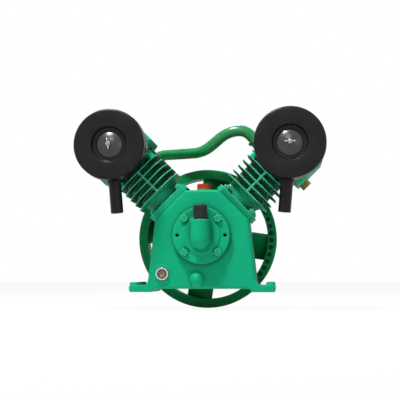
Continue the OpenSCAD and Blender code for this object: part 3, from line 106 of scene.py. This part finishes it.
def startMaterial(name):
    material = bpy.data.materials.new(name)
    material.use_nodes = True
    tree = material.node_tree
    place = addNode(tree, "ShaderNodeTexCoord").outputs["Object"]
    return material, tree, tree.nodes["Principled BSDF"], place


def perMetre(millimetres):  # a pattern's scale from the size of one of its grains
    return 1000 / millimetres


def seenDirectly(tree):  # 1 for the camera, glass and gloss, 0 for the light on the object
    rays = addNode(tree, "ShaderNodeLightPath")
    through = addNode(tree, "ShaderNodeMath", {"operation": "MAXIMUM"},
                      {0: rays.outputs["Is Camera Ray"], 1: rays.outputs["Is Transmission Ray"]})
    return addNode(tree, "ShaderNodeMath", {"operation": "MAXIMUM"},
                   {0: through.outputs[0], 1: rays.outputs["Is Glossy Ray"]}).outputs[0]


lightSetup = {"world": 0.14, "lamps": {  # places and widths in metres, power in watts
    "key lamp": {"place": (-0.5, -0.9, 2.15), "aim": (0, 0, 0.2), "size": 0.4, "power": 60},
    "fill lamp": {"place": (1.5, -2.0, 0.6), "aim": (0, 0, 0.2), "size": 1.2, "power": 2},
    "rim lamp": {"place": (-0.3, 1.5, 1.6), "aim": (0, 0, 0.2), "size": 1.0, "power": 12},
    "high lamp": {"place": (-0.1, -2.2, 1.7), "aim": (0, 0, 0.25), "size": 0.7, "power": 8},
}}

world = bpy.data.worlds.new("studio")
world.use_nodes = True
bpy.context.scene.world = world
tree = world.node_tree
background = tree.nodes["Background"]
background.inputs["Color"].default_value = (1, 1, 1, 1)
level = addNode(tree, "ShaderNodeMapRange", {"To Min": lightSetup["world"], "To Max": 1.0},
                {"Value": seenDirectly(tree)})
tree.links.new(level.outputs[0], background.inputs["Strength"])

floorSetup = {"size": 14, "back": 3, "below": 0.0005, "colour": "#f6f6f4", "roughness": 0.9,
              "glow": 0.94}  # the glow's share leaves room for the object's shadow
floorLevel = cadBox[0].z - floorSetup["below"]
bpy.ops.object.select_all(action="DESELECT")
bpy.ops.mesh.primitive_plane_add(size=floorSetup["size"],
                                 location=(0, floorSetup["back"], floorLevel))
floor = bpy.context.object
floor.name = "floor"
bpy.ops.object.transform_apply(location=True, rotation=True, scale=True)
# Matt painted board: flat, without gloss, it reads as white paper under a soft shadow
floorPaint, tree, shader = startMaterial("matt white floor board")[:3]
shader.inputs["Base Color"].default_value = toLinear(floorSetup["colour"])
shader.inputs["Roughness"].default_value = floorSetup["roughness"]
shader.inputs["Specular IOR Level"].default_value = 0.0
glow = addNode(tree, "ShaderNodeEmission", {"Color": (1, 1, 1, 1), "Strength": 1.0})
share = addNode(tree, "ShaderNodeMath", {"operation": "MULTIPLY", 1: floorSetup["glow"]},
                {0: seenDirectly(tree)})
blend = addNode(tree, "ShaderNodeMixShader", {},
                {0: share.outputs[0], 1: shader.outputs[0], 2: glow.outputs[0]})
tree.links.new(blend.outputs[0], tree.nodes["Material Output"].inputs["Surface"])
floor.data.materials.append(floorPaint)

for name, setup in lightSetup["lamps"].items():
    lamp = bpy.data.lights.new(name, "AREA")
    lamp.shape = "DISK"
    lamp.size = setup["size"]
    lamp.energy = setup["power"]
    holder = bpy.data.objects.new(name, lamp)
    bpy.context.scene.collection.objects.link(holder)
    holder.location = setup["place"]
    holder.visible_camera = False
    holder.rotation_mode = "QUATERNION"
    holder.rotation_quaternion = (Vector(setup["aim"])
                                  - Vector(setup["place"])).to_track_quat("-Z", "Y")
print("camera, floor and light ready")

# Finishes. Sizes that end in Mm are those of one grain, patch or line


def paintedCasting(name, look):
    # Enamel over sand-cast iron: an even coat that still shows the sand's grain, with a painted
    # highlight paling the edges and painted shade darkening the corners
    material, tree, shader, place = startMaterial(name)
    smoother, rougher = 0.07, 0.1  # how far the gloss strays from the look's roughness
    blotches = addNode(tree, "ShaderNodeTexNoise",
                       {"Scale": perMetre(look["blotchMm"]), "Detail": 3.0}, {"Vector": place})
    patchy = addNode(tree, "ShaderNodeMapRange",
                     {"From Min": 0.35, "From Max": 0.65, "To Max": look["patchy"]},
                     {"Value": blotches.outputs[0]})
    tone = addNode(tree, "ShaderNodeMix",
                   {"data_type": "RGBA", firstColour: toLinear(look["colour"]),
                    secondColour: toLinear(look["worn"])}, {0: patchy.outputs[0]})
    # painted shade: where ambient occlusion finds a crevice, the colour is darkened towards the
    # look's dark shade colour
    openness = addNode(tree, "ShaderNodeAmbientOcclusion",
                       {"samples": 6, "Distance": look["paintedShadeReachMm"] / 1000})
    paintedShade = addNode(tree, "ShaderNodeMapRange",
                      {"From Min": 0.25, "From Max": 0.85, "To Min": look["paintedShade"],
                       "To Max": 0.0}, {"Value": openness.outputs["AO"]})
    tone = addNode(tree, "ShaderNodeMix",
                   {"data_type": "RGBA", secondColour: toLinear(look["deep"])},
                   {0: paintedShade.outputs[0], firstColour: tone.outputs[mixedColour]})
    # painted highlight: where the bevel's rounded normal bends away from the flat one, the colour
    # is paled towards the look's edge colour
    rounded = addNode(tree, "ShaderNodeBevel", {"samples": 5, "Radius": look["edgeMm"] / 1000})
    flat = addNode(tree, "ShaderNodeNewGeometry")
    bend = addNode(tree, "ShaderNodeVectorMath", {"operation": "DOT_PRODUCT"},
                   {0: rounded.outputs[0], 1: flat.outputs["Normal"]})
    edge = addNode(tree, "ShaderNodeMapRange",
                   {"From Min": 0.995, "From Max": 0.8, "To Max": look["paintedHighlight"]},
                   {"Value": bend.outputs["Value"]})
    tone = addNode(tree, "ShaderNodeMix",
                   {"data_type": "RGBA", secondColour: toLinear(look["edge"])},
                   {0: edge.outputs[0], firstColour: tone.outputs[mixedColour]})
    tree.links.new(tone.outputs[mixedColour], shader.inputs["Base Color"])
    grain = addNode(tree, "ShaderNodeTexNoise",
                    {"Scale": perMetre(look["grainMm"]), "Detail": 4.0, "Roughness": 0.6},
                    {"Vector": place})
    peel = addNode(tree, "ShaderNodeTexNoise",
                   {"Scale": perMetre(look["peelMm"]), "Detail": 1.0}, {"Vector": place})
    soft = addNode(tree, "ShaderNodeBump", {"Strength": look["peel"], "Distance": 0.0006},
                   {"Height": peel.outputs[0], "Normal": rounded.outputs[0]})
    rough = addNode(tree, "ShaderNodeBump", {"Strength": look["grain"], "Distance": 0.0004},
                    {"Height": grain.outputs[0], "Normal": soft.outputs[0]})
    tree.links.new(rough.outputs[0], shader.inputs["Normal"])
    shine = addNode(tree, "ShaderNodeMapRange",
                    {"From Min": 0.3, "From Max": 0.7, "To Min": look["roughness"] - smoother,
                     "To Max": look["roughness"] + rougher}, {"Value": grain.outputs[0]})
    tree.links.new(shine.outputs[0], shader.inputs["Roughness"])
    shader.inputs["Specular IOR Level"].default_value = look["gloss"]
    return material


castingLook = {  # sprayed enamel: flat green, with a painted highlight along the edges and painted shade in the crevices
    "colour": "#00a270", "worn": "#009c74", "deep": "#00350c", "edge": "#8ff5d8", "blotchMm": 70,
    "patchy": 0.8, "paintedShadeReachMm": 26, "paintedShade": 1.0, "edgeMm": 2.0, "paintedHighlight": 1.0,
    "grainMm": 2.4, "grain": 0.3, "peelMm": 9, "peel": 0.25, "roughness": 0.54, "gloss": 0.14}
shadedWheelLook = dict(  # the same enamel as the castings, painted a darker green as shade, with deeper painted shade in the crevices and a fainter painted edge highlight
    castingLook, colour="#008a52", worn="#007a3c", deep="#002c08", edge="#35b785", roughness=0.5)
pipeLook = dict(  # thick gloss enamel on tube: a soft orange peel and bright streaks
    castingLook, colour="#0b8244", worn="#086c34", deep="#023514", edge="#4aa46c", grain=0.12,
    grainMm=1.6, peel=0.3, peelMm=14, roughness=0.24, paintedHighlight=0.0, gloss=0.5)
gasketLook = dict(  # gasket paper that was painted over: dull, with hardly any painted edge highlight
    castingLook, colour="#067a52", worn="#05613f", deep="#02301a", paintedHighlight=0.1, roughness=0.6)


def coatedOrMoulded(name, look):
    # A dense coat or a moulding: one even colour, dusty in patches, a fine texture with a sheen
    material, tree, shader, place = startMaterial(name)
    smoother, rougher = 0.06, 0.1
    dust = addNode(tree, "ShaderNodeTexNoise",
                   {"Scale": perMetre(look["dustMm"]), "Detail": 5.0}, {"Vector": place})
    tone = addNode(tree, "ShaderNodeValToRGB",
                   {"ramp": [(0.35, look["colour"]), (0.75, look["dust"])]}, {0: dust.outputs[0]})
    tree.links.new(tone.outputs[0], shader.inputs["Base Color"])
    rounded = addNode(tree, "ShaderNodeBevel", {"samples": 5, "Radius": look["edgeMm"] / 1000})
    grain = addNode(tree, "ShaderNodeTexNoise",
                    {"Scale": perMetre(look["grainMm"]), "Detail": 2.0}, {"Vector": place})
    bump = addNode(tree, "ShaderNodeBump", {"Strength": look["grain"], "Distance": 0.0003},
                   {"Height": grain.outputs[0], "Normal": rounded.outputs[0]})
    tree.links.new(bump.outputs[0], shader.inputs["Normal"])
    shine = addNode(tree, "ShaderNodeMapRange",
                    {"To Min": look["roughness"] - smoother,
                     "To Max": look["roughness"] + rougher}, {"Value": dust.outputs[0]})
    tree.links.new(shine.outputs[0], shader.inputs["Roughness"])
    shader.inputs["Specular IOR Level"].default_value = look["gloss"]
    return material


coatLook = {  # powder coat on pressed steel: black, finely textured, softly shining
    "colour": "#0b0b0c", "dust": "#151516", "dustMm": 45, "edgeMm": 1.5, "grainMm": 1.4,
    "grain": 0.22, "roughness": 0.32, "gloss": 0.2}
domeLook = {  # gloss lacquer: almost smooth, with a clear highlight
    "colour": "#0c0c0d", "dust": "#161617", "dustMm": 30, "edgeMm": 1.0, "grainMm": 6,
    "grain": 0.05, "roughness": 0.24, "gloss": 0.75}
plugLook = {  # moulded nylon: dark grey and dull
    "colour": "#17181b", "dust": "#212326", "dustMm": 14, "edgeMm": 0.8, "grainMm": 1.2,
    "grain": 0.3, "roughness": 0.5, "gloss": 0.25}
capLook = {  # moulded polypropylene: warm red, a little waxy
    "colour": "#c92a10", "dust": "#d83a1a", "dustMm": 20, "edgeMm": 0.8, "grainMm": 1.5,
    "grain": 0.15, "roughness": 0.35, "gloss": 0.35}
sealLook = {  # nitrile rubber: black and matt
    "colour": "#141414", "dust": "#222222", "dustMm": 8, "edgeMm": 0.4, "grainMm": 1.0,
    "grain": 0.3, "roughness": 0.7, "gloss": 0.3}


def turnedMetal(name, look):
    # Bare metal as the lathe or the mill left it: fine lines, faint stains, hard reflections
    material, tree, shader, place = startMaterial(name)
    smoother, rougher = 0.04, 0.1
    drawn = addNode(tree, "ShaderNodeMapping", {"Scale": look["stretch"]}, {"Vector": place})
    lines = addNode(tree, "ShaderNodeTexNoise",
                    {"Scale": perMetre(look["lineMm"]), "Detail": 6.0},
                    {"Vector": drawn.outputs[0]})
    tone = addNode(tree, "ShaderNodeValToRGB",
                   {"ramp": [(0.3, look["colour"]), (0.7, look["stain"])]}, {0: lines.outputs[0]})
    tree.links.new(tone.outputs[0], shader.inputs["Base Color"])
    rounded = addNode(tree, "ShaderNodeBevel", {"samples": 4, "Radius": look["edgeMm"] / 1000})
    bump = addNode(tree, "ShaderNodeBump", {"Strength": look["line"], "Distance": 0.0002},
                   {"Height": lines.outputs[0], "Normal": rounded.outputs[0]})
    tree.links.new(bump.outputs[0], shader.inputs["Normal"])
    shine = addNode(tree, "ShaderNodeMapRange",
                    {"To Min": look["roughness"] - smoother,
                     "To Max": look["roughness"] + rougher}, {"Value": lines.outputs[0]})
    tree.links.new(shine.outputs[0], shader.inputs["Roughness"])
    shader.inputs["Metallic"].default_value = 1.0
    return material


chromeLook = {  # polished plate: a mirror with hardly a line
    "colour": "#d4d6d8", "stain": "#b9bcc0", "lineMm": 3, "stretch": (1, 1, 1), "edgeMm": 0.5,
    "line": 0.05, "roughness": 0.1}
steelLook = {  # turned steel: grey, fine lines round the axis
    "colour": "#a9adb1", "stain": "#8b8f94", "lineMm": 1.2, "stretch": (1, 6, 1), "edgeMm": 0.5,
    "line": 0.2, "roughness": 0.3}
aluminiumLook = {  # machined aluminium: paler and softer than the steel
    "colour": "#c3c5c7", "stain": "#a6a9ac", "lineMm": 1.5, "stretch": (1, 3, 1), "edgeMm": 0.5,
    "line": 0.2, "roughness": 0.35}
brassLook = {  # old brass: dull yellow with olive stains
    "colour": "#9a8f3c", "stain": "#6d6a2a", "lineMm": 2, "stretch": (1, 1, 1), "edgeMm": 0.6,
    "line": 0.15, "roughness": 0.3}

glassLook = {"colour": "#eef6f2", "ior": 1.5, "filmMm": 6, "haze": 0.04}


def sightGlass(name, look):
    # Soda-lime glass: clear, flat and polished, with a trace of green
    material, tree, shader, place = startMaterial(name)
    shader.inputs["Base Color"].default_value = toLinear(look["colour"])
    shader.inputs["Transmission Weight"].default_value = 1.0
    shader.inputs["IOR"].default_value = look["ior"]
    film = addNode(tree, "ShaderNodeTexNoise", {"Scale": perMetre(look["filmMm"])},
                   {"Vector": place})
    haze = addNode(tree, "ShaderNodeMapRange", {"To Min": 0.0, "To Max": look["haze"]},
                   {"Value": film.outputs[0]})
    tree.links.new(haze.outputs[0], shader.inputs["Roughness"])
    rays = addNode(tree, "ShaderNodeLightPath")  # light passes through to the dial behind
    clear = addNode(tree, "ShaderNodeBsdfTransparent")
    mixed = addNode(tree, "ShaderNodeMixShader", {},
                    {0: rays.outputs["Is Shadow Ray"], 1: shader.outputs[0], 2: clear.outputs[0]})
    tree.links.new(mixed.outputs[0], tree.nodes["Material Output"].inputs["Surface"])
    return material


dialLook = {"ground": "#101214", "upper": "#f0f0ea", "lower": "#e3b122", "middle": "#c5261b",
            "middleMm": 2.6, "starMm": 0.3, "roughness": 0.35}


def enamelledDial(name, look):
    # Printed and lacquered tin: flat colours with sharp borders under a thin gloss
    material, tree, shader, place = startMaterial(name)
    low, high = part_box("sight_dial")
    centre = (low + high) / 2
    starFront = low.y + look["starMm"] / 1000  # only the raised star lies in front of this
    local = addNode(tree, "ShaderNodeMapping", {"Location": (-centre.x, 0, -centre.z)},
                    {"Vector": place})
    parts = addNode(tree, "ShaderNodeSeparateXYZ", {}, {"Vector": local.outputs[0]})
    above = addNode(tree, "ShaderNodeMath", {"operation": "GREATER_THAN", 1: 0.0},
                    {0: parts.outputs["Z"]})
    star = addNode(tree, "ShaderNodeMath", {"operation": "LESS_THAN", 1: starFront},
                   {0: parts.outputs["Y"]})
    flat = addNode(tree, "ShaderNodeCombineXYZ", {},
                   {"X": parts.outputs["X"], "Z": parts.outputs["Z"]})
    reach = addNode(tree, "ShaderNodeVectorMath", {"operation": "LENGTH"}, {0: flat.outputs[0]})
    inner = addNode(tree, "ShaderNodeMath",
                    {"operation": "LESS_THAN", 1: look["middleMm"] / 1000},
                    {0: reach.outputs["Value"]})
    tone = addNode(tree, "ShaderNodeMix",
                   {"data_type": "RGBA", firstColour: toLinear(look["lower"]),
                    secondColour: toLinear(look["upper"])}, {0: above.outputs[0]})
    tone = addNode(tree, "ShaderNodeMix",
                   {"data_type": "RGBA", secondColour: toLinear(look["middle"])},
                   {0: inner.outputs[0], firstColour: tone.outputs[mixedColour]})
    tone = addNode(tree, "ShaderNodeMix",
                   {"data_type": "RGBA", firstColour: toLinear(look["ground"])},
                   {0: star.outputs[0], secondColour: tone.outputs[mixedColour]})
    tree.links.new(tone.outputs[mixedColour], shader.inputs["Base Color"])
    shader.inputs["Roughness"].default_value = look["roughness"]
    return material


paperLook = {"colour": "#cdbd8f", "fibre": "#dccfa6", "fibreMm": 0.8, "bump": 0.2,
             "roughness": 0.9}


def filterPaper(name, look):
    # Resin-treated filter paper: matt, cream, with a faint fibre
    material, tree, shader, place = startMaterial(name)
    fibre = addNode(tree, "ShaderNodeTexNoise",
                    {"Scale": perMetre(look["fibreMm"]), "Detail": 4.0}, {"Vector": place})
    tone = addNode(tree, "ShaderNodeValToRGB",
                   {"ramp": [(0.3, look["colour"]), (0.7, look["fibre"])]}, {0: fibre.outputs[0]})
    tree.links.new(tone.outputs[0], shader.inputs["Base Color"])
    bump = addNode(tree, "ShaderNodeBump", {"Strength": look["bump"], "Distance": 0.0002},
                   {"Height": fibre.outputs[0]})
    tree.links.new(bump.outputs[0], shader.inputs["Normal"])
    shader.inputs["Roughness"].default_value = look["roughness"]
    return material


finishes = {
    "green_casting": paintedCasting("green enamel on cast iron", castingLook),
    "flywheel_paint": paintedCasting("green enamel on the flywheel", shadedWheelLook),
    "pipe_paint": paintedCasting("green gloss enamel on steel tube", pipeLook),
    "gasket": paintedCasting("painted gasket paper", gasketLook),
    "black_sheet": coatedOrMoulded("black powder coat", coatLook),
    "black_dome": coatedOrMoulded("black gloss lacquer", domeLook),
    "black_plug": coatedOrMoulded("moulded black nylon", plugLook),
    "red_cap": coatedOrMoulded("moulded red polypropylene", capLook),
    "rubber": coatedOrMoulded("nitrile rubber", sealLook),
    "chrome": turnedMetal("nickel chrome plate", chromeLook),
    "steel": turnedMetal("turned steel", steelLook),
    "aluminium": turnedMetal("machined aluminium", aluminiumLook),
    "brass": turnedMetal("dull brass", brassLook),
    "glass": sightGlass("soda-lime glass", glassLook),
    "dial": enamelledDial("lacquered tin dial", dialLook),
    "paper": filterPaper("pleated filter paper", paperLook),
}
for part in frame["record"]["subparts"]:
    cadPiece = nodes[part["node"]]
    for slot in cadPiece.material_slots:
        slot.material = finishes[part["material_slot"]]
    if not cadPiece.material_slots:
        cadPiece.data.materials.append(finishes[part["material_slot"]])
print("finishes ready:", len(finishes))

# Pieces that are turned, pressed, bent or rounded, in place of plain CAD solids. Their sizes
# are in millimetres, their angles in degrees


def chooseOnly(piece):
    bpy.ops.object.select_all(action="DESELECT")
    piece.select_set(True)
    bpy.context.view_layer.objects.active = piece


def nameNew(title):  # what was just added is the active object
    piece = bpy.context.object
    piece.name = piece.data.name = title
    return piece


def mergeDoubles(faceOut=True):
    bpy.ops.object.mode_set(mode="EDIT")
    bpy.ops.mesh.select_all(action="SELECT")
    bpy.ops.mesh.remove_doubles(threshold=mergeReach)
    if faceOut:
        bpy.ops.mesh.normals_make_consistent(inside=False)
    bpy.ops.object.mode_set(mode="OBJECT")


def settle(piece, body, slot, *replaced, angle):  # place into the mesh, smooth, paint, ride
    chooseOnly(piece)
    bpy.ops.object.transform_apply(location=True, rotation=True, scale=True)
    bpy.ops.object.shade_smooth_by_angle(angle=math.radians(angle))
    piece.data.materials.clear()
    piece.data.materials.append(finishes[slot])
    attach(piece, body)
    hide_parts(*replaced)


def turnedPiece(title, profile, sides):
    # A ring is pulled along the profile's points, each a radius and a height, back to the first
    points = [(r / 1000, z / 1000) for r, z in profile]
    radius, height = points[0]
    bpy.ops.object.select_all(action="DESELECT")
    bpy.ops.mesh.primitive_circle_add(vertices=sides, radius=radius, location=(0, 0, 0))
    piece = nameNew(title)
    bpy.ops.object.mode_set(mode="EDIT")
    bpy.ops.mesh.select_all(action="SELECT")
    bpy.ops.transform.translate(value=(0, 0, height))
    for nextRadius, nextHeight in points[1:]:
        rise = nextHeight - height
        bpy.ops.mesh.extrude_edges_move(TRANSFORM_OT_translate={"value": (0, 0, rise)})
        grow = nextRadius / radius
        bpy.ops.transform.resize(value=(grow, grow, 1), center_override=(0, 0, nextHeight))
        radius, height = nextRadius, nextHeight
    mergeDoubles()
    return piece


def faceForward(piece, place):  # from upright on the origin to its place on a filter
    piece.rotation_euler = (math.pi / 2, 0, 0)
    piece.location = place


def arc(middle, radius, sweep, steps):  # points of a profile, the sweep measured from outward
    start, end = sweep
    turns = [math.radians(start + (end - start) * i / steps) for i in range(steps + 1)]
    return [(middle[0] + radius * math.cos(t), middle[1] + radius * math.sin(t)) for t in turns]


filterShape = {"distance": 310.5, "front": 96, "dishFloor": 61, "hole": 4.1, "sides": 144}
reach = filterShape["distance"] / 1000
filterPlace = {side: Vector((way * reach * math.sin(bankAngle), -filterShape["front"] / 1000,
                             shaftHeight + reach * math.cos(bankAngle)))
               for side, way in (("left", -1), ("right", 1))}

coverShape = {"radius": 88, "depth": 70, "sheet": 2, "lip": 42, "lipTop": 1, "bead": 0.8,
              "beadRound": 1.1, "beadMiddle": 1.6, "beadTop": 4, "beadSweep": (230, 430),
              "round": 6, "roundSweep": (10, 90), "dish": 43, "dishRound": 2.5,
              "dishSweep": (110, 170), "dishBack": 2.4, "floorRound": 1.6,
              "floorSweep": (-20, -90), "wideSteps": 8, "tightSteps": 4, "smooth": 30}


def coverProfile(seat, shape):  # up the skirt, over the front, down the dish and back inside
    wall, front, sheet = shape["radius"] - shape["bead"], shape["depth"], shape["sheet"]
    lip, dish, bend = shape["lip"], shape["dish"], shape["round"]
    floorFront, hole = seat["dishFloor"], seat["hole"]
    start = (wall - sheet, lip + shape["lipTop"])
    bead = arc((shape["radius"] - shape["beadRound"], lip + shape["beadMiddle"]),
               shape["beadRound"], shape["beadSweep"], shape["wideSteps"])
    shoulder = arc((wall - bend, front - bend), bend, shape["roundSweep"], shape["wideSteps"])
    brim = (dish + shape["dishRound"], front)
    brimArc = arc((brim[0], front - shape["dishRound"]), shape["dishRound"], shape["dishSweep"],
                  shape["tightSteps"])
    floorArc = arc((dish - 2 * shape["floorRound"], floorFront + shape["floorRound"]),
                   shape["floorRound"], shape["floorSweep"], shape["tightSteps"])
    inside = [(hole, floorFront - sheet), (dish - sheet, floorFront - sheet),
              (dish + shape["dishBack"], front - sheet), (wall - bend, front - sheet),
              (wall - sheet, front - bend)]
    return ([start] + bead + [(wall, lip + shape["beadTop"]), (wall, front - bend)] + shoulder
            + [brim] + brimArc + floorArc + [(hole, floorFront)] + inside + [start])


domeShape = {"radius": 33, "height": 10, "underside": 0.4, "edgeTurn": 0.4, "steps": 22,
             "smooth": 30}


def domeProfile(seat, shape):  # a shallow cap of a ball on the floor of the dish
    ball = (shape["radius"] ** 2 + shape["height"] ** 2) / (2 * shape["height"])
    edge = math.degrees(math.acos(shape["radius"] / ball)) + shape["edgeTurn"]
    top = math.degrees(math.acos(seat["hole"] / ball))
    start = (seat["hole"], seat["dishFloor"])
    return ([start, (shape["radius"] - shape["underside"], seat["dishFloor"])]
            + arc((0, seat["dishFloor"] + shape["height"] - ball), ball, (edge, top),
                  shape["steps"]) + [start])


for side, place in filterPlace.items():
    cover = turnedPiece(side + "PressedCover", coverProfile(filterShape, coverShape),
                        filterShape["sides"])
    faceForward(cover, place)
    settle(cover, "pump", "black_sheet", side + "_filter_cover", angle=coverShape["smooth"])
    dome = turnedPiece(side + "GlossyDome", domeProfile(filterShape, domeShape),
                       filterShape["sides"])
    faceForward(dome, place)
    settle(dome, "pump", "black_dome", side + "_filter_dome", angle=domeShape["smooth"])
print("filter covers and domes ready")

wingShape = {"bore": 4.1, "boreEdge": 0.5, "bossRadius": 7.4, "bossHeight": 8, "bossEdge": 0.6,
             "skirt": 1.6, "topRadius": 5.2, "topEdge": 0.5, "topDrop": 0.4, "sides": 40,
             "wingRadius": 5.2, "wingWidth": 3, "wingOut": 9.3, "wingUp": 8.0, "wingSides": 28,
             "rootFrom": 2.5, "rootIn": 2.2, "rootDown": 2.8, "rim": 1.1, "rimSteps": 3,
             "start": 71.3, "turn": {"left": 100, "right": 0}, "smooth": 40}


def bossProfile(shape):
    bore, foot = shape["bore"], shape["bossRadius"]
    top, height = shape["topRadius"], shape["bossHeight"]
    return [(bore, 0), (foot - shape["bossEdge"], 0), (foot, shape["bossEdge"]),
            (foot, shape["skirt"]), (top + shape["topEdge"], height - shape["topDrop"]),
            (top, height), (bore + shape["boreEdge"], height),
            (bore, height - shape["boreEdge"]), (bore, 0)]


def addWing(way, shape):  # one ear, to the left at -1 and to the right at 1
    bpy.ops.object.select_all(action="DESELECT")
    bpy.ops.mesh.primitive_cylinder_add(
        vertices=shape["wingSides"], radius=shape["wingRadius"] / 1000,
        depth=shape["wingWidth"] / 1000, rotation=(math.pi / 2, 0, 0),
        location=(way * shape["wingOut"] / 1000, 0, shape["wingUp"] / 1000))
    wing = bpy.context.object
    bpy.ops.object.transform_apply(location=True, rotation=True, scale=True)
    bpy.ops.object.mode_set(mode="EDIT")
    bpy.ops.mesh.select_all(action="DESELECT")
    bpy.ops.object.mode_set(mode="OBJECT")
    for corner in wing.data.vertices:  # the ear's root is drawn in towards the boss
        corner.select = way * corner.co.x < (shape["wingOut"] - shape["rootFrom"]) / 1000
    bpy.ops.object.mode_set(mode="EDIT")
    bpy.ops.transform.translate(value=(-way * shape["rootIn"] / 1000, 0,
                                       -shape["rootDown"] / 1000))
    bpy.ops.object.mode_set(mode="OBJECT")
    rim = wing.modifiers.new("rim", "BEVEL")
    rim.width, rim.segments, rim.limit_method = shape["rim"] / 1000, shape["rimSteps"], "ANGLE"
    bpy.ops.object.modifier_apply(modifier="rim")


for side, place in filterPlace.items():
    nut = turnedPiece(side + "WingNut", bossProfile(wingShape), wingShape["sides"])
    for way in (-1, 1):
        addWing(way, wingShape)
        nut.select_set(True)
        bpy.context.view_layer.objects.active = nut
        bpy.ops.object.join()
    nut.rotation_euler = (0, 0, math.radians(wingShape["turn"][side]))
    bpy.ops.object.transform_apply(location=False, rotation=True, scale=False)
    faceForward(nut, place + Vector((0, -wingShape["start"] / 1000, 0)))
    settle(nut, side + "_wing", "chrome", side + "_wing_nut", angle=wingShape["smooth"])
print("wing nuts ready")

pipeShape = {"across": 30, "bend": 80, "endBend": 40, "elbow": 34, "top": 279, "slope": 38,
             "lead": 12, "lift": 21, "liftRun": 60, "leftPort": 291, "rightPort": 272,
             "leftFace": 68, "rightDepth": 34, "rightFace": 84, "steps": 16, "straightSteps": 4,
             "roundness": 8, "play": 0.1, "smooth": 50}  # a roundness of 8 gives 20 sides


def eased(t):  # a share from 0 to 1, slow at both ends
    return t * t * (3 - 2 * t)


def pipeRoute(shape):  # the middle line about the crankshaft's axis, as the tube bender sets it
    slant = math.sin(bankAngle)
    low = shape["leftPort"] * slant
    elbowX, elbowY, run = -low, shape["leftFace"] + shape["lead"], low + shape["lift"]
    slope = math.radians(shape["slope"])
    endZ = shape["top"] - shape["endBend"] * (1 - math.cos(bankAngle))
    endX = shape["rightPort"] / slant - endZ
    topX = endX - shape["endBend"] * slant
    climb = shape["top"] - run - 2 * shape["bend"] * (1 - math.cos(slope))
    slopeX = topX - shape["bend"] * math.sin(slope) - climb / math.tan(slope)
    riseX = slopeX - shape["bend"] * math.sin(slope)
    liftX = elbowX + shape["elbow"]
    backY = elbowY + shape["elbow"]

    def depthAt(x):
        share = min(1, max(0, (x - liftX) / (topX - liftX)))
        return backY + (shape["rightDepth"] - backY) * eased(share)

    steps = shape["steps"]
    route = [(elbowX, shape["leftFace"], low)]
    for i in range(steps + 1):  # backwards out of the left head and round to the right
        turn = math.pi / 2 * i / steps
        route.append((elbowX + shape["elbow"] * (1 - math.cos(turn)),
                      elbowY + shape["elbow"] * math.sin(turn), low))
    level = [(liftX + shape["liftRun"] * i / steps, low + shape["lift"] * eased(i / steps))
             for i in range(1, steps + 1)]  # a slight climb
    flatX = liftX + shape["liftRun"]
    level += [(flatX + (riseX - flatX) * i / shape["straightSteps"], run)
              for i in range(1, shape["straightSteps"])]
    for i in range(steps + 1):  # up into the slope
        turn = slope * i / steps
        level.append((riseX + shape["bend"] * math.sin(turn),
                      run + shape["bend"] * (1 - math.cos(turn))))
    for i in range(steps + 1):  # level again at the top
        turn = slope * (1 - i / steps)
        level.append((topX - shape["bend"] * math.sin(turn),
                      shape["top"] - shape["bend"] * (1 - math.cos(turn))))
    for i in range(1, steps + 1):  # down to the right head
        turn = bankAngle * i / steps
        level.append((topX + shape["endBend"] * math.sin(turn),
                      shape["top"] - shape["endBend"] * (1 - math.cos(turn))))
    route += [(x, depthAt(x), z) for x, z in level]
    route.append(((shape["rightPort"] - shape["rightFace"]) * slant, shape["rightDepth"],
                  (shape["rightPort"] + shape["rightFace"]) * slant))
    return [Vector((x / 1000, y / 1000, z / 1000 + shaftHeight)) for x, y, z in route]


route = pipeRoute(pipeShape)
bpy.ops.object.select_all(action="DESELECT")
bpy.ops.curve.primitive_nurbs_path_add()
pipe = nameNew("bentPipe")
pipe.data.splines.clear()
line = pipe.data.splines.new("POLY")
line.points.add(len(route) - 1)
for point, place in zip(line.points, route):
    point.co = (*place, 1)
pipe.data.dimensions = "3D"
pipe.data.bevel_depth = (pipeShape["across"] / 2 - pipeShape["play"]) / 1000
pipe.data.bevel_resolution = pipeShape["roundness"]
pipe.data.use_fill_caps = True
bpy.ops.object.convert(target="MESH")
pipe = bpy.context.object
mergeDoubles()
settle(pipe, "pump", "pipe_paint", "discharge_pipe", angle=pipeShape["smooth"])
print("pipe ready:", len(route), "rings")

mouldSetup = {"softness": 0.5, "passes": 3, "smooth": 60}  # sand leaves every edge a bit round
castingShapes = {  # the turn lays a casting's faces along the voxels
    "crankcase": {"title": "roundedCrankcase", "voxel": 2.4, "turn": 0},
    "front_cover": {"title": "roundedFrontCover", "voxel": 1.7, "turn": 0},
    "left_head": {"title": "roundedLeftHead", "voxel": 1.8, "turn": 45},
    "right_head": {"title": "roundedRightHead", "voxel": 1.8, "turn": -45},
}
for node, shape in castingShapes.items():
    casting = bpy.data.objects.new(shape["title"], nodes[node].data.copy())
    bpy.context.scene.collection.objects.link(casting)
    chooseOnly(casting)
    mergeDoubles(faceOut=False)
    casting.rotation_euler = (0, math.radians(shape["turn"]), 0)
    bpy.ops.object.transform_apply(location=False, rotation=True, scale=False)
    cast = casting.modifiers.new("cast", "REMESH")
    cast.mode, cast.voxel_size = "VOXEL", shape["voxel"] / 1000
    bpy.ops.object.modifier_apply(modifier="cast")
    worn = casting.modifiers.new("worn", "SMOOTH")
    worn.factor, worn.iterations = mouldSetup["softness"], mouldSetup["passes"]
    bpy.ops.object.modifier_apply(modifier="worn")
    casting.rotation_euler = (0, -math.radians(shape["turn"]), 0)
    settle(casting, "pump", "green_casting", node, angle=mouldSetup["smooth"])
    print(shape["title"], "ready:", len(casting.data.polygons), "faces")

# Close
print("scene built")
